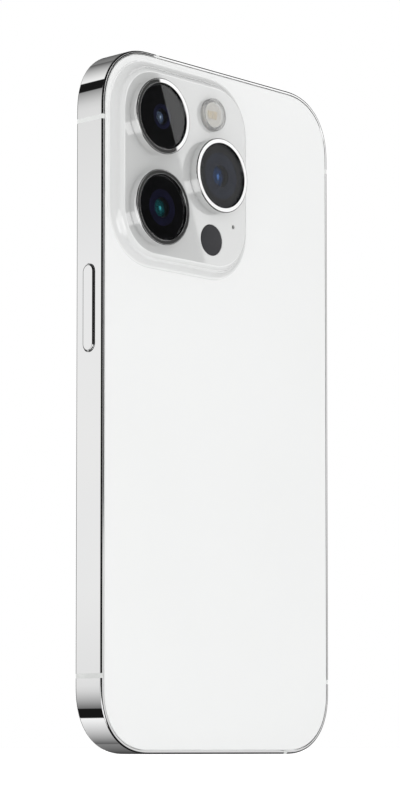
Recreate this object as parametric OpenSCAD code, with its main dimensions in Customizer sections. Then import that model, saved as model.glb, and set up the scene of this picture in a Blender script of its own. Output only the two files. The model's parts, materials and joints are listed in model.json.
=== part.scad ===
// A slim phone with a steel band, glass on both faces and three cameras on a raised plateau.
// It stands on its port end: Z runs up its length, Y from the display to the cameras, X across it.
// Every piece is drawn lying on its display, and upright() then stands it up.

/* [Body] */
// Width across the long sides, buttons left out
body_w = 71.5; // [66:0.5:86]
// Length from the port end to the top
body_h = 147.5; // [140:0.5:178]
// Thickness from the cover glass to the back glass
body_t = 7.85; // [7.4:0.05:9.5]
// Outer radius of the four corners of the band
corner_r = 13; // [10:0.1:15.6]

/* [Steel band] */
// Thickness of the band's wall
band_wall = 2; // [1.8:0.05:2.4]
// Width of the rim that frames each glass
rim_w = 0.95; // [0.8:0.05:1.2]
// How far the rim stays below each glass surface
rim_drop = 0.1; // [0.05:0.05:0.2]
// Radius of the band's two outer edges
edge_r = 0.5; // [0.3:0.05:0.8]
// Width of each antenna break
break_w = 1; // [0.8:0.05:1.5]
// From the end of a corner to the breaks on the long sides
side_break = 3; // [1:0.1:8]
// From the end of the camera corner to the break on the top end
top_break = 3.4; // [1:0.1:12]
// From the end of the far corner to the break on the port end
port_break = 1.6; // [1:0.1:3]

/* [Glass and display] */
// Thickness of the cover glass
cover_t = 0.65; // [0.5:0.05:0.8]
// Thickness of the back glass away from the cameras
back_t = 0.8; // [0.6:0.05:1]
// Thickness of the display panel
panel_t = 1.1; // [0.8:0.05:1.15]
// Thickness of the plastic frame around the panel
frame_t = 1.2; // [1.15:0.05:1.4]
// Thickness of the two adhesive seals
seal_t = 0.15; // [0.1:0.05:0.2]
// Width of the black border between the rim and the panel
border_w = 2; // [1.5:0.1:4]
// Thickness of the middle plate
plate_t = 0.5; // [0.4:0.05:0.6]

/* [Cameras] */
// From the camera side of the body to the centre of the outer pair of cameras
lens_from_side = 13.83; // [13.2:0.01:17]
// From the top of the body to the centre of the upper camera
lens_from_top = 14.3; // [13.8:0.01:18]
// Distance along the body between the upper and lower cameras
lens_pitch_long = 19.25; // [18:0.05:24]
// Distance across the body to the inner camera
lens_pitch_across = 18.1; // [17.6:0.05:22]
// Height of the camera rings above the back glass
camera_rise = 4.17; // [3.5:0.01:5]
// Height of the plateau above the back glass
plateau_rise = 2.05; // [1.5:0.05:2.6]
// Flat glass around the cameras across the body, from a camera's centre
plateau_across = 9.3; // [9:0.1:10]
// Flat glass around the cameras along the body, from a camera's centre
plateau_along = 9.5; // [9:0.1:10]
// Width of the curved skirt around the plateau
skirt_w = 2.8; // [1.5:0.1:3]
// Outer radius of a camera ring
ring_r = 8; // [7.6:0.05:8.4]
// Radius of the glass disc in a camera ring
lens_glass_r = 7; // [6.7:0.05:7.3]
// Thickness of the glass disc in a camera ring
lens_glass_t = 0.35; // [0.3:0.05:0.8]
// How far the glass disc stays below the ring's face
lens_glass_drop = 0.25; // [0.1:0.05:0.4]
// Radius of a lens barrel
barrel_r = 5.5; // [4.5:0.05:5.6]
// Side of a square camera housing
housing_w = 16.4; // [15:0.1:17]
// Focus travel of a lens barrel
focus_travel = 0.35; // [0.2:0.05:0.4]
// Radius of the flash lens
flash_r = 3.5; // [3:0.05:3.8]
// Height of the flash lens above the plateau
flash_rise = 1.15; // [0.4:0.05:1.4]
// From the plateau's far side to the centre of the flash and of the ranging window
flash_from_far = 10.5; // [9.5:0.1:13]
// From the plateau's upper edge to the centre of the flash
flash_from_top = 5.95; // [5:0.05:6.5]
// Radius of the ranging window
range_r = 3.29; // [3:0.01:3.5]
// From the plateau's lower edge to the centre of the ranging window
range_from_bottom = 5.3; // [4.6:0.05:5.5]
// Radius of the microphone hole in the plateau
mic_r = 0.4; // [0.3:0.05:0.6]

/* [Buttons and switch] */
// Width of the buttons
button_w = 3.2; // [2.6:0.1:3.2]
// How far the buttons stand out of the band
button_rise = 0.4; // [0.2:0.05:0.6]
// Length of the side button
side_button_l = 18.15; // [12:0.05:24]
// From the top of the body to the centre of the side button
side_button_from_top = 55.5; // [50:0.1:70]
// Length of each volume button
volume_button_l = 10.2; // [8:0.1:11.5]
// Distance between the two volume buttons' centres
volume_pitch = 12.7; // [12.4:0.1:16]
// From the top of the body to the centre of the volume up button
volume_from_top = 43.2; // [42:0.1:56]
// From the top of the body to the centre of the mute switch
mute_from_top = 31; // [28:0.1:31]
// Length of the mute switch
mute_l = 5.7; // [4.5:0.1:6]
// Travel of the mute switch between its two positions
mute_travel = 1.3; // [0.8:0.1:1.4]
// Travel of a button when it is pressed
press_travel = 0.25; // [0.15:0.05:0.3]

/* [Card tray] */
// Length of the tray's lip
tray_lip_l = 15.6; // [14:0.1:18]
// Width of the tray's lip
tray_lip_w = 1.8; // [1.6:0.05:2]
// From the port end to the centre of the tray
tray_from_port_end = 50; // [46:0.1:60]
// How far the tray reaches into the body
tray_depth = 20; // [18.8:0.1:21]
// Radius of the eject hole in the lip
eject_r = 0.5; // [0.4:0.05:0.6]

/* [Port end] */
// Width of the charge port's mouth
port_w = 7.5; // [7:0.1:8.4]
// Height of the charge port's mouth
port_h = 2.3; // [2:0.05:2.4]
// Depth of the charge port
port_depth = 7.2; // [6.8:0.1:8]
// Radius of the speaker and microphone holes
hole_r = 0.75; // [0.5:0.05:0.9]
// Distance between neighbouring holes
hole_pitch = 2.3; // [2:0.05:2.6]
// From the middle to the first hole on each side
hole_start = 11.2; // [10.8:0.1:12]
// From the middle to the two screws
screw_from_middle = 8.2; // [7.8:0.1:8.8]
// Radius of a screw's head
screw_head_r = 0.75; // [0.6:0.05:0.9]

/* [Inner parts] */
// Height of the bay with the loudspeaker and the haptic motor
end_bay = 20.5; // [16:0.5:22]
// Width of the logic board's long arm
board_w = 15.7; // [13:0.1:16]
// Thickness of the logic board
board_t = 0.9; // [0.7:0.05:1.2]
// Outer radius of the ring of magnets
magnet_r = 27.5; // [24:0.5:28]
// Width of the ring of magnets
magnet_w = 4; // [3:0.1:5]
// Number of magnets in the ring
magnet_count = 18; // [12:1:24]
// Outer radius of the charging coil
coil_r = 21.5; // [16:0.5:22]
// Travel of the haptic mass each way
haptic_travel = 0.8; // [0.4:0.1:1]

/* [Clearances] */
// Gap around each glass, inside its rim
glass_gap = 0.05; // [0.03:0.01:0.1]
// Gap around each button, switch and tray in its slot
slot_gap = 0.1; // [0.05:0.01:0.15]
// Gap between inner parts that lie next to each other
part_gap = 0.1; // [0.05:0.01:0.15]
// Gap around a sliding lens barrel
barrel_gap = 0.1; // [0.06:0.01:0.12]

/* [Hidden] */
$fn = 64;
eps = 0.01;

// Levels through the thickness, from the cover glass's face
z_frame = cover_t + frame_t;
z_front_ledge = z_frame + seal_t;
z_plate = z_front_ledge + plate_t;
z_floor = z_plate + part_gap;
z_glass_in = body_t - back_t;
z_back_ledge = z_glass_in - seal_t;
z_mid = body_t / 2;
z_deck = body_t + plateau_rise;
z_ring = body_t + camera_rise;
coil_t = 0.38;
z_coil = z_glass_in - coil_t - eps;
z_roof = z_coil - part_gap;

// Places across and along the body
half_w = body_w / 2;
wall_x = half_w - band_wall;
glass_inset = rim_w + glass_gap;
cavity_r = corner_r - band_wall;
lens_x = lens_from_side - half_w;
inner_lens_x = lens_x + lens_pitch_across;
upper_y = body_h - lens_from_top;
lower_y = upper_y - lens_pitch_long;
inner_y = (upper_y + lower_y) / 2;
plateau_w = lens_pitch_across + 2 * plateau_across;
plateau_h = lens_pitch_long + 2 * plateau_along;
plateau_x = lens_x + lens_pitch_across / 2;
plateau_corner_r = plateau_across;
flash_x = plateau_x + plateau_w / 2 - flash_from_far;
flash_y = inner_y + plateau_h / 2 - flash_from_top;
range_y = inner_y - plateau_h / 2 + range_from_bottom;
mic_x = inner_lens_x + 5.7;
mic_y = range_y + 3.8;
island_y = body_h - 8.7;
front_camera_x = -7.6;
face_sensors_x = 3;
front_camera_r = 2.4;
sensor_l = 12.6;
sensor_w = 5.2;

// The side button, volume buttons, mute switch and tray along the long sides
side_button_y = body_h - side_button_from_top;
volume_up_y = body_h - volume_from_top;
volume_down_y = volume_up_y - volume_pitch;
mute_y = body_h - mute_from_top;
tray_y = tray_from_port_end;

// Camera stack
barrel_bottom = z_floor + 1.2;
z_lens_seat = z_ring - lens_glass_drop - lens_glass_t;
barrel_top = z_lens_seat - focus_travel - part_gap;
ring_neck_r = lens_glass_r + 0.2;
ring_bore_r = barrel_r + 0.8;
glass_hole_r = ring_neck_r + glass_gap;
flash_neck_r = flash_r - 0.4;

// Bays for the inner parts
cell_side = 3.45;
board_right = wall_x - cell_side;
board_left = board_right - board_w;
bracket_w = plateau_w + 1.8;
bracket_h = plateau_h;
bracket_bottom = inner_y - bracket_h / 2;
z_bracket = z_roof - 0.2;
board_top = island_y - 4.2;
board_shelf_left = plateau_x + bracket_w / 2 + 1;
board_shelf_bottom = bracket_bottom;
board_bottom = tray_y + 11;
z_board = z_floor + 1;
battery_left = cell_side - wall_x;
battery_right = board_left - 1;
battery_bottom = band_wall + end_bay;
battery_top = bracket_bottom - 1.5;
coil_y = body_h / 2;
post_r = 1.2;
thread_r = 0.45;
board_posts = [
    [board_right - 2, board_bottom + 2.4],
    [board_right - 2, board_shelf_bottom - 2],
    [board_shelf_left + 2, board_shelf_bottom + 2.4]
];
speaker_left = 2.75 - wall_x;
speaker_right = -7.5;
haptic_left = 7.5;
haptic_w = 20;
haptic_bottom = band_wall + 2.5;
haptic_h = end_bay - 4.5;
haptic_wall = 0.4;
card_w = 8.8;
card_l = 12.3;
card_t = 0.67;
tray_t = 1.1;
tray_w = 11.8;
tray_x = half_w - tray_depth;

// Stands the lying model up: right, up and out of the back become -X, +Z and +Y.
module upright() {
    translate([0, -z_ring / 2, 0])
    rotate([90, 0, 180])
    children();
}

// A flat rounded rectangle around its own centre.
module round_rect(w, h, r) {
    square([w - 2 * r, h], center = true);
    square([w, h - 2 * r], center = true);
    for (sx = [-1, 1]) {
        for (sy = [-1, 1]) {
            translate([sx * (w / 2 - r), sy * (h / 2 - r)])
            circle(r);
        }
    }
}

// A rounded plate between two levels.
module plate(x, y, w, h, r, z0, z1) {
    translate([x, y, z0])
    linear_extrude(z1 - z0)
    round_rect(w, h, r);
}

// A plate with the body's outline, drawn in by a given inset.
module body_plate(inset, z0, z1) {
    plate(0, body_h / 2, body_w - 2 * inset, body_h - 2 * inset, corner_r - inset, z0, z1);
}

// A box between two corners.
module block(x0, x1, y0, y1, z0, z1) {
    translate([x0, y0, z0])
    cube([x1 - x0, y1 - y0, z1 - z0]);
}

// A round post, hole or disc that stands on the display side.
module post(x, y, r, z0, z1) {
    translate([x, y, z0])
    cylinder(h = z1 - z0, r = r);
}

// A slot with round ends that runs through a long side, from x0 to x1.
module side_slot(x0, x1, y, l, w, z) {
    end = l / 2 - w / 2;
    translate([x0, y, z])
    rotate([90, 0, 90])
    linear_extrude(x1 - x0)
    union() {
        square([l - w, w], center = true);
        for (s = [-1, 1]) {
            translate([s * end, 0])
            circle(w / 2);
        }
    }
}

// A slot with round ends that runs through the port end, from y0 to y1.
module end_slot(y0, y1, x, l, w, z) {
    translate([x, y1, z])
    rotate([90, 0, 0])
    linear_extrude(y1 - y0)
    union() {
        square([l - w, w], center = true);
        for (s = [-1, 1]) {
            translate([s * (l / 2 - w / 2), 0])
            circle(w / 2);
        }
    }
}

// Section of the band: the outer face lies on x = 0 and the wall is on the left of it.
module band_section() {
    low = rim_drop;
    high = body_t - rim_drop;
    translate([-rim_w, low])
    square([rim_w - edge_r, high - low]);
    translate([-edge_r - eps, low + edge_r])
    square([edge_r + eps, high - low - 2 * edge_r]);
    for (y = [low + edge_r, high - edge_r]) {
        translate([-edge_r, y])
        circle(edge_r);
    }
    translate([-band_wall, z_front_ledge])
    square([band_wall - rim_w + eps, z_back_ledge - z_front_ledge]);
}

// Straight stretch of band on a long side: side is -1 for the side button's, 1 for the other.
module band_side(side, y0, y1) {
    scale_x = side < 0 ? 1 : 0;
    mirror([scale_x, 0, 0])
    translate([half_w, y1, 0])
    rotate([90, 0, 0])
    linear_extrude(y1 - y0)
    band_section();
}

// Straight stretch of band on the top end or, with top false, on the port end.
module band_end(top, x0, x1) {
    translate([x0, top ? body_h : 0, 0])
    mirror([0, top ? 0 : 1, 0])
    rotate([90, 0, 90])
    linear_extrude(x1 - x0)
    band_section();
}

// One quarter turn of band: sx and sy give the corner.
module band_corner(sx, sy) {
    turn = sx > 0 ? (sy > 0 ? 0 : 270) : (sy > 0 ? 90 : 180);
    y = sy > 0 ? body_h - corner_r : corner_r;
    translate([sx * (half_w - corner_r), y, 0])
    rotate([0, 0, turn])
    rotate_extrude(angle = 90)
    translate([corner_r, 0])
    band_section();
}

low_break_y = corner_r + side_break;
high_break_y = body_h - corner_r - side_break;
top_break_x = corner_r - half_w + top_break;
port_break_x = half_w - corner_r - port_break;

// The button slots and the room that each piece needs on its way through the wall.
module side_button_slot() {
    side_slot(-half_w - 1, -wall_x + eps, side_button_y, side_button_l + 2 * slot_gap,
        button_w + 2 * slot_gap, z_mid);
}

module volume_slot(y) {
    side_slot(wall_x - eps, half_w + 1, y, volume_button_l + 2 * slot_gap,
        button_w + 2 * slot_gap, z_mid);
}

module mute_slot() {
    w = mute_w + mute_travel + 2 * slot_gap;
    h = mute_l + 2 * slot_gap;
    translate([wall_x - eps, mute_y, z_mid])
    rotate([90, 0, 90])
    linear_extrude(band_wall + 1)
    round_rect(h, w, mute_w / 2);
}

module tray_slot() {
    side_slot(wall_x - eps, half_w + 1, tray_y, tray_lip_l + 2 * slot_gap,
        tray_lip_w + 2 * slot_gap, z_mid);
}

module band_button_side() {
    color("gainsboro")
    upright()
    difference() {
        band_side(-1, low_break_y + break_w / 2, high_break_y - break_w / 2);
        side_button_slot();
    }
}

module band_volume_side() {
    color("gainsboro")
    upright()
    difference() {
        band_side(1, low_break_y + break_w / 2, high_break_y - break_w / 2);
        volume_slot(volume_up_y);
        volume_slot(volume_down_y);
        mute_slot();
        tray_slot();
    }
}

module band_camera_corner() {
    color("gainsboro")
    upright()
    union() {
        band_side(-1, high_break_y + break_w / 2, body_h - corner_r);
        band_corner(-1, 1);
        band_end(true, corner_r - half_w, top_break_x - break_w / 2);
    }
}

module band_far_top_corner() {
    color("gainsboro")
    upright()
    union() {
        band_side(1, high_break_y + break_w / 2, body_h - corner_r);
        band_corner(1, 1);
        band_end(true, top_break_x + break_w / 2, half_w - corner_r);
    }
}

// Holes along the port end: the loudspeaker's on the camera side, the microphone's on the other.
speaker_holes = [for (i = [0 : 4]) -hole_start - i * hole_pitch];
mic_holes = [for (i = [0 : 2]) hole_start + i * hole_pitch];

module port_end_hole(x, r, y0, y1) {
    translate([x, y1, z_mid])
    rotate([90, 0, 0])
    cylinder(h = y1 - y0, r = r);
}

module band_port_end() {
    color("gainsboro")
    upright()
    difference() {
        union() {
            band_side(-1, corner_r, low_break_y - break_w / 2);
            band_corner(-1, -1);
            band_end(false, corner_r - half_w, port_break_x - break_w / 2);
        }
        end_slot(-1, band_wall + 1, 0, port_w, port_h, z_mid);
        for (x = concat(speaker_holes, mic_holes)) {
            port_end_hole(x, hole_r, -1, band_wall + 1);
        }
        for (s = [-1, 1]) {
            port_end_hole(s * screw_from_middle, screw_head_r + 0.05, -1, 0.9);
            port_end_hole(s * screw_from_middle, thread_r, -1, band_wall + 1);
        }
    }
}

module band_far_port_corner() {
    color("gainsboro")
    upright()
    union() {
        band_side(1, corner_r, low_break_y - break_w / 2);
        band_corner(1, -1);
        band_end(false, port_break_x + break_w / 2, half_w - corner_r);
    }
}

// Six plastic inserts part the band into the phone's aerials.
module antenna_breaks() {
    h = break_w / 2;
    color("whitesmoke")
    upright() {
        for (y = [low_break_y, high_break_y]) {
            band_side(-1, y - h, y + h);
            band_side(1, y - h, y + h);
        }
        band_end(true, top_break_x - h, top_break_x + h);
        band_end(false, port_break_x - h, port_break_x + h);
    }
}

// The plate that carries the inner parts, with three threaded posts for the logic board.
module middle_plate() {
    color("silver")
    upright()
    difference() {
        union() {
            body_plate(band_wall, z_front_ledge, z_plate);
            for (p = board_posts) {
                post(p[0], p[1], post_r, z_plate - eps, z_board);
            }
        }
        block(front_camera_x - 4, face_sensors_x + 7.7, island_y - 4, island_y + 4, 0, z_plate + 1);
        block(-6, 6, body_h - 4.8, body_h - 3.2, 0, z_plate + 1);
        for (p = board_posts) {
            post(p[0], p[1], thread_r, z_front_ledge - 1, z_board + 1);
        }
    }
}

// Height of the plateau's skirt at t from 0 at the flat glass to 1 at its foot.
function skirt_height(t) = plateau_rise * (1 + cos(180 * t)) / 2;

skirt_steps = 10;
skirt_foot = 0.3;

// Section of the skirt, from the flat glass outwards.
module skirt_section() {
    rim = [for (i = [0 : skirt_steps]) [skirt_w * i / skirt_steps, skirt_height(i / skirt_steps)]];
    polygon(concat([[-1, -skirt_foot], [-1, plateau_rise]], rim, [[skirt_w, -skirt_foot]]));
}

// The skirt swept around the plateau: four straight runs and four quarter turns.
module plateau_skirt() {
    r = plateau_corner_r;
    for (s = [-1, 1]) {
        rotate([0, 0, s > 0 ? 0 : 180]) {
            translate([plateau_w / 2, plateau_h / 2 - r, 0])
            rotate([90, 0, 0])
            linear_extrude(plateau_h - 2 * r)
            skirt_section();
            translate([r - plateau_w / 2, plateau_h / 2, 0])
            rotate([90, 0, 90])
            linear_extrude(plateau_w - 2 * r)
            skirt_section();
        }
    }
    for (k = [0 : 3]) {
        sx = (k == 0 || k == 3) ? 1 : -1;
        sy = k < 2 ? 1 : -1;
        translate([sx * (plateau_w / 2 - r), sy * (plateau_h / 2 - r), 0])
        rotate([0, 0, 90 * k])
        rotate_extrude(angle = 90)
        translate([r, 0])
        skirt_section();
    }
}

module back_glass() {
    color("white")
    upright()
    difference() {
        union() {
            body_plate(glass_inset, z_glass_in, body_t);
            plate(plateau_x, inner_y, plateau_w, plateau_h, plateau_corner_r, z_glass_in, z_deck);
            translate([plateau_x, inner_y, body_t])
            plateau_skirt();
        }
        post(lens_x, upper_y, glass_hole_r, z_glass_in - 1, z_deck + 1);
        post(lens_x, lower_y, glass_hole_r, z_glass_in - 1, z_deck + 1);
        post(inner_lens_x, inner_y, glass_hole_r, z_glass_in - 1, z_deck + 1);
        post(flash_x, flash_y, flash_neck_r + glass_gap, z_glass_in - 1, z_deck + 1);
        post(flash_x, range_y, range_r + glass_gap, z_glass_in - 1, z_deck + 1);
        post(mic_x, mic_y, mic_r, z_glass_in - 1, z_deck + 1);
    }
}

// Adhesive frames under the back glass and behind the display.
module glass_seals() {
    inner = band_wall - 0.05;
    color("dimgray")
    upright() {
        difference() {
            body_plate(glass_inset + 0.1, z_back_ledge, z_glass_in);
            body_plate(inner, z_back_ledge - 1, z_glass_in + 1);
        }
        difference() {
            body_plate(glass_inset + 0.1, z_frame, z_front_ledge);
            body_plate(inner, z_frame - 1, z_front_ledge + 1);
        }
    }
}

earpiece_l = 12;
earpiece_w = 0.9;
earpiece_y = body_h - glass_inset - earpiece_w;

module cover_glass() {
    color("black")
    upright()
    difference() {
        body_plate(glass_inset, 0, cover_t);
        block(-earpiece_l / 2, earpiece_l / 2, earpiece_y, body_h, -1, cover_t + 1);
    }
}

// The pill that holds the face sensors, grown by a given gap.
module sensor_pill(gap, z0, z1) {
    r = sensor_w / 2 + gap - eps;
    plate(face_sensors_x, island_y, sensor_l + 2 * gap, sensor_w + 2 * gap, r, z0, z1);
}

// Holes behind the cover glass for the front camera and the face sensors.
module sensor_holes(gap, z0, z1) {
    post(front_camera_x, island_y, front_camera_r + gap, z0, z1);
    sensor_pill(gap, z0, z1);
}

module display_panel() {
    inset = glass_inset + border_w;
    color([0.05, 0.05, 0.07])
    upright()
    difference() {
        body_plate(inset, cover_t, cover_t + panel_t);
        sensor_holes(0.2, 0, z_frame);
    }
}

module display_frame() {
    inset = glass_inset + border_w - part_gap;
    color([0.1, 0.1, 0.1])
    upright()
    difference() {
        body_plate(glass_inset + 0.05, cover_t, z_frame);
        body_plate(inset, 0, z_frame + 1);
        block(-earpiece_l / 2, earpiece_l / 2, earpiece_y, body_h, -1, z_frame + 1);
    }
}

module earpiece_mesh() {
    gap = 0.05;
    color([0.2, 0.2, 0.2])
    upright()
    difference() {
        block(gap - earpiece_l / 2, earpiece_l / 2 - gap, earpiece_y + gap, body_h - glass_inset,
            0.15, 0.6);
        for (i = [-9 : 9]) {
            post(i * 0.6, body_h - glass_inset - earpiece_w / 2, 0.15, -1, 1);
        }
    }
}

module earpiece_speaker() {
    color([0.15, 0.15, 0.15])
    upright() {
        block(-8, 12, island_y - 0.6, body_h - band_wall - 0.5, z_roof - 1.7, z_roof - 0.4);
        block(-6, 6, body_h - 5.2, body_h - band_wall - 0.6, z_floor, z_roof - 1.7);
    }
}

module front_camera() {
    color([0.08, 0.08, 0.1])
    upright()
    union() {
        post(front_camera_x, island_y, front_camera_r, cover_t + 0.05, z_front_ledge + 0.2);
        block(front_camera_x - 3.3, front_camera_x + 3.3, island_y - 3.3, island_y + 3.3,
            z_front_ledge + 0.1, z_floor + 1.3);
    }
}

module face_sensors() {
    color([0.1, 0.1, 0.12])
    upright()
    union() {
        sensor_pill(0, cover_t + 0.05, z_front_ledge + 0.2);
        block(face_sensors_x - 6.9, face_sensors_x + 6.9, island_y - 3.4, island_y + 3.4,
            z_front_ledge + 0.1, z_floor + 1.3);
    }
}

// A push button on the camera side: cap, neck and a flange that keeps it in its slot.
module push_button(l) {
    flange_l = l + 1.6;
    cap_in = wall_x + press_travel + 0.05;
    side_slot(cap_in, half_w + button_rise, 0, l, button_w, 0);
    block(wall_x - 0.1, cap_in + eps, -l / 2 + 2, l / 2 - 2, -1.1, 1.1);
    block(wall_x - 0.5, wall_x - 0.05, -flange_l / 2, flange_l / 2, -1.3, 1.3);
}

module side_button() {
    color("gainsboro")
    upright()
    translate([0, side_button_y, z_mid])
    mirror([1, 0, 0])
    push_button(side_button_l);
}

module volume_up_button() {
    color("gainsboro")
    upright()
    translate([0, volume_up_y, z_mid])
    push_button(volume_button_l);
}

module volume_down_button() {
    color("gainsboro")
    upright()
    translate([0, volume_down_y, z_mid])
    push_button(volume_button_l);
}

mute_w = 2.1;
mute_rise = 0.25;
mute_rest_z = z_mid - mute_travel / 2;

module mute_switch() {
    color("gainsboro")
    upright()
    translate([0, mute_y, mute_rest_z])
    union() {
        translate([wall_x + 0.15, 0, 0])
        rotate([90, 0, 90])
        linear_extrude(band_wall + mute_rise - 0.15)
        round_rect(mute_l, mute_w, mute_w / 2 - eps);
        block(wall_x - 0.2, wall_x + 0.2, -mute_l / 2 + 0.6, mute_l / 2 - 0.6, -0.55, 0.55);
        block(wall_x - 0.55, wall_x - 0.1, -mute_l / 2 - 0.8, mute_l / 2 + 0.8, -0.6, 0.6);
    }
}

module mute_switch_base() {
    color([0.15, 0.15, 0.15])
    upright()
    block(wall_x - 2.4, wall_x - 0.65, mute_y - mute_l / 2 - 1.2, mute_y + mute_l / 2 + 1.2,
        z_plate, z_mid + 2);
}

// A dome switch on its foot, with its plunger towards the wall.
module dome_switch(y) {
    face = wall_x - 0.5 - press_travel - 0.15;
    block(face - 1.8, face - 0.5, y - 2.4, y + 2.4, z_plate, z_mid + 1.3);
    translate([face - 0.5 - eps, y, z_mid])
    rotate([0, 90, 0])
    cylinder(h = 0.5 + eps, r = 0.7);
}

module button_switches() {
    color([0.7, 0.6, 0.35])
    upright() {
        mirror([1, 0, 0])
        dome_switch(side_button_y);
        dome_switch(volume_up_y);
        dome_switch(volume_down_y);
    }
}

// A camera ring: a collar on the plateau, a ledge for its glass and a neck through the back.
module camera_ring(x, y) {
    edge = 0.2;
    color("gainsboro")
    upright()
    translate([x, y, 0])
    rotate_extrude()
    union() {
        translate([lens_glass_r + glass_gap, z_deck])
        square([ring_r - lens_glass_r - glass_gap - edge, z_ring - z_deck]);
        translate([ring_r - edge - eps, z_deck])
        square([edge + eps, z_ring - z_deck - edge]);
        translate([ring_r - edge, z_ring - edge])
        circle(edge);
        translate([ring_bore_r, z_deck])
        square([lens_glass_r + 2 * glass_gap - ring_bore_r, z_lens_seat - z_deck]);
        translate([ring_bore_r, z_back_ledge + part_gap])
        square([ring_neck_r - ring_bore_r, z_deck + eps - z_back_ledge - part_gap]);
    }
}

module camera_glass(x, y) {
    color([0.05, 0.05, 0.08, 0.6])
    upright()
    post(x, y, lens_glass_r, z_lens_seat, z_lens_seat + lens_glass_t);
}

// A lens barrel, open at the front where its first element sits.
module lens_barrel(x, y) {
    color([0.06, 0.06, 0.07])
    upright()
    difference() {
        post(x, y, barrel_r, barrel_bottom, barrel_top);
        post(x, y, barrel_r * 0.55, barrel_top - 1.6, barrel_top + 1);
        post(x, y, barrel_r * 0.3, barrel_bottom - 1, barrel_top);
    }
}

// The front element: a shallow lens in the barrel's seat.
module lens_element(x, y) {
    r = barrel_r * 0.55 - 0.05;
    bow = 0.9;
    ball_r = (r * r + bow * bow) / (2 * bow);
    color([0.1, 0.15, 0.3, 0.6])
    upright()
    translate([x, y, barrel_top - 1.55])
    intersection() {
        cylinder(h = 2, r = r);
        translate([0, 0, bow - ball_r + 0.3])
        sphere(ball_r);
    }
}

// The actuator housing around a barrel, with a well for the image sensor.
module camera_housing(x, y) {
    h = housing_w / 2;
    top = z_back_ledge;
    color([0.25, 0.25, 0.27])
    upright()
    difference() {
        intersection() {
            block(x - h, x + h, y - h, y + h, z_floor, top);
            body_plate(band_wall + part_gap, z_floor, top);
        }
        post(x, y, barrel_r + barrel_gap, barrel_bottom - 0.2, top + 1);
        block(x - 4.8, x + 4.8, y - 4, y + 4, z_floor + 0.3, barrel_bottom);
    }
}

module image_sensors() {
    color([0.2, 0.35, 0.3])
    upright()
    for (p = [[lens_x, upper_y], [lens_x, lower_y], [inner_lens_x, inner_y]]) {
        block(p[0] - 4.6, p[0] + 4.6, p[1] - 3.8, p[1] + 3.8, z_floor + 0.3, z_floor + 0.8);
    }
}

// A stamped bracket that ties the three housings together under the back glass.
module camera_bracket() {
    hole = housing_w + 2 * part_gap;
    color("silver")
    upright()
    difference() {
        plate(plateau_x, inner_y, bracket_w, bracket_h, plateau_corner_r, z_bracket, z_back_ledge - 0.1);
        for (p = [[lens_x, upper_y], [lens_x, lower_y], [inner_lens_x, inner_y]]) {
            translate([p[0], p[1], z_mid])
            linear_extrude(z_deck)
            square(hole, center = true);
        }
        block(flash_x - 4.2, flash_x + 4.2, range_y - 4.2, range_y + 4.2, z_mid, z_deck);
        block(mic_x - 1.6, mic_x + 1.6, mic_y - 1.6, mic_y + 1.6, z_mid, z_deck);
        post(flash_x, flash_y, flash_r, z_mid, z_deck);
    }
}

flash_top = z_deck + flash_rise;
flash_cup_r = flash_neck_r - 0.4;
flash_cover_t = 0.45;

// A clear cap with a collar on the plateau and a tube through the back glass.
module flash_lens() {
    edge = 0.2;
    low = z_glass_in + 0.5;
    color([0.95, 0.92, 0.8, 0.6])
    upright()
    translate([flash_x, flash_y, 0])
    rotate_extrude()
    union() {
        translate([0, flash_top - flash_cover_t])
        square([flash_r - edge, flash_cover_t]);
        translate([flash_cup_r, z_deck])
        square([flash_r - flash_cup_r, flash_rise - edge]);
        translate([flash_r - edge, flash_top - edge])
        circle(edge);
        translate([flash_cup_r, low])
        square([flash_neck_r - flash_cup_r, z_deck - low + eps]);
    }
}

// The light's module fills the cap's tube and carries two dies.
module flash_led() {
    face = flash_top - flash_cover_t - 0.35;
    die = 0.5;
    color([0.95, 0.8, 0.4])
    upright()
    union() {
        post(flash_x, flash_y, flash_cup_r - part_gap, z_back_ledge, face);
        for (s = [-1, 1]) {
            translate([flash_x + 1.5 * die * s, flash_y, face])
            cube([2 * die, 2 * die, 0.3], center = true);
        }
    }
}

module range_window() {
    color([0.15, 0.15, 0.16])
    upright()
    post(flash_x, range_y, range_r, z_deck - 0.8, z_deck);
}

module range_module() {
    color([0.2, 0.2, 0.22])
    upright()
    union() {
        block(flash_x - 4, flash_x + 4, range_y - 4, range_y + 4, z_floor + 0.6, z_back_ledge);
        post(flash_x, range_y, range_r - 0.2, z_back_ledge - eps, z_deck - 0.85);
    }
}

module rear_microphone() {
    color([0.75, 0.7, 0.5])
    upright()
    difference() {
        block(mic_x - 1.4, mic_x + 1.4, mic_y - 1.4, mic_y + 1.4, z_back_ledge - 1.5, z_back_ledge);
        post(mic_x, mic_y, mic_r, z_back_ledge - 0.5, z_deck);
    }
}

port_wall = 0.2;
port_y = band_wall + 0.05;
mesh_t = 0.3;

module charge_port() {
    color("silver")
    upright()
    difference() {
        end_slot(port_y, port_y + port_depth, 0, port_w + 2 * port_wall, port_h + 2 * port_wall, z_mid);
        end_slot(0, port_y + port_depth - 0.6, 0, port_w, port_h, z_mid);
    }
}

// Eight contact strips on the port's inner wall, on the side of the back glass.
module port_contacts() {
    top = z_mid + port_h / 2;
    color("gold")
    upright()
    for (i = [0 : 7]) {
        x = (i - 3.5) * 0.62;
        block(x - 0.18, x + 0.18, port_y + 1.5, port_y + port_depth - 0.7, top - 0.15, top);
    }
}

// A flat-headed screw, head up.
module screw(length) {
    head = 0.7;
    translate([0, 0, -head])
    cylinder(h = head, r = screw_head_r);
    translate([0, 0, -length])
    cylinder(h = length - head + eps, r = thread_r);
}

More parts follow.
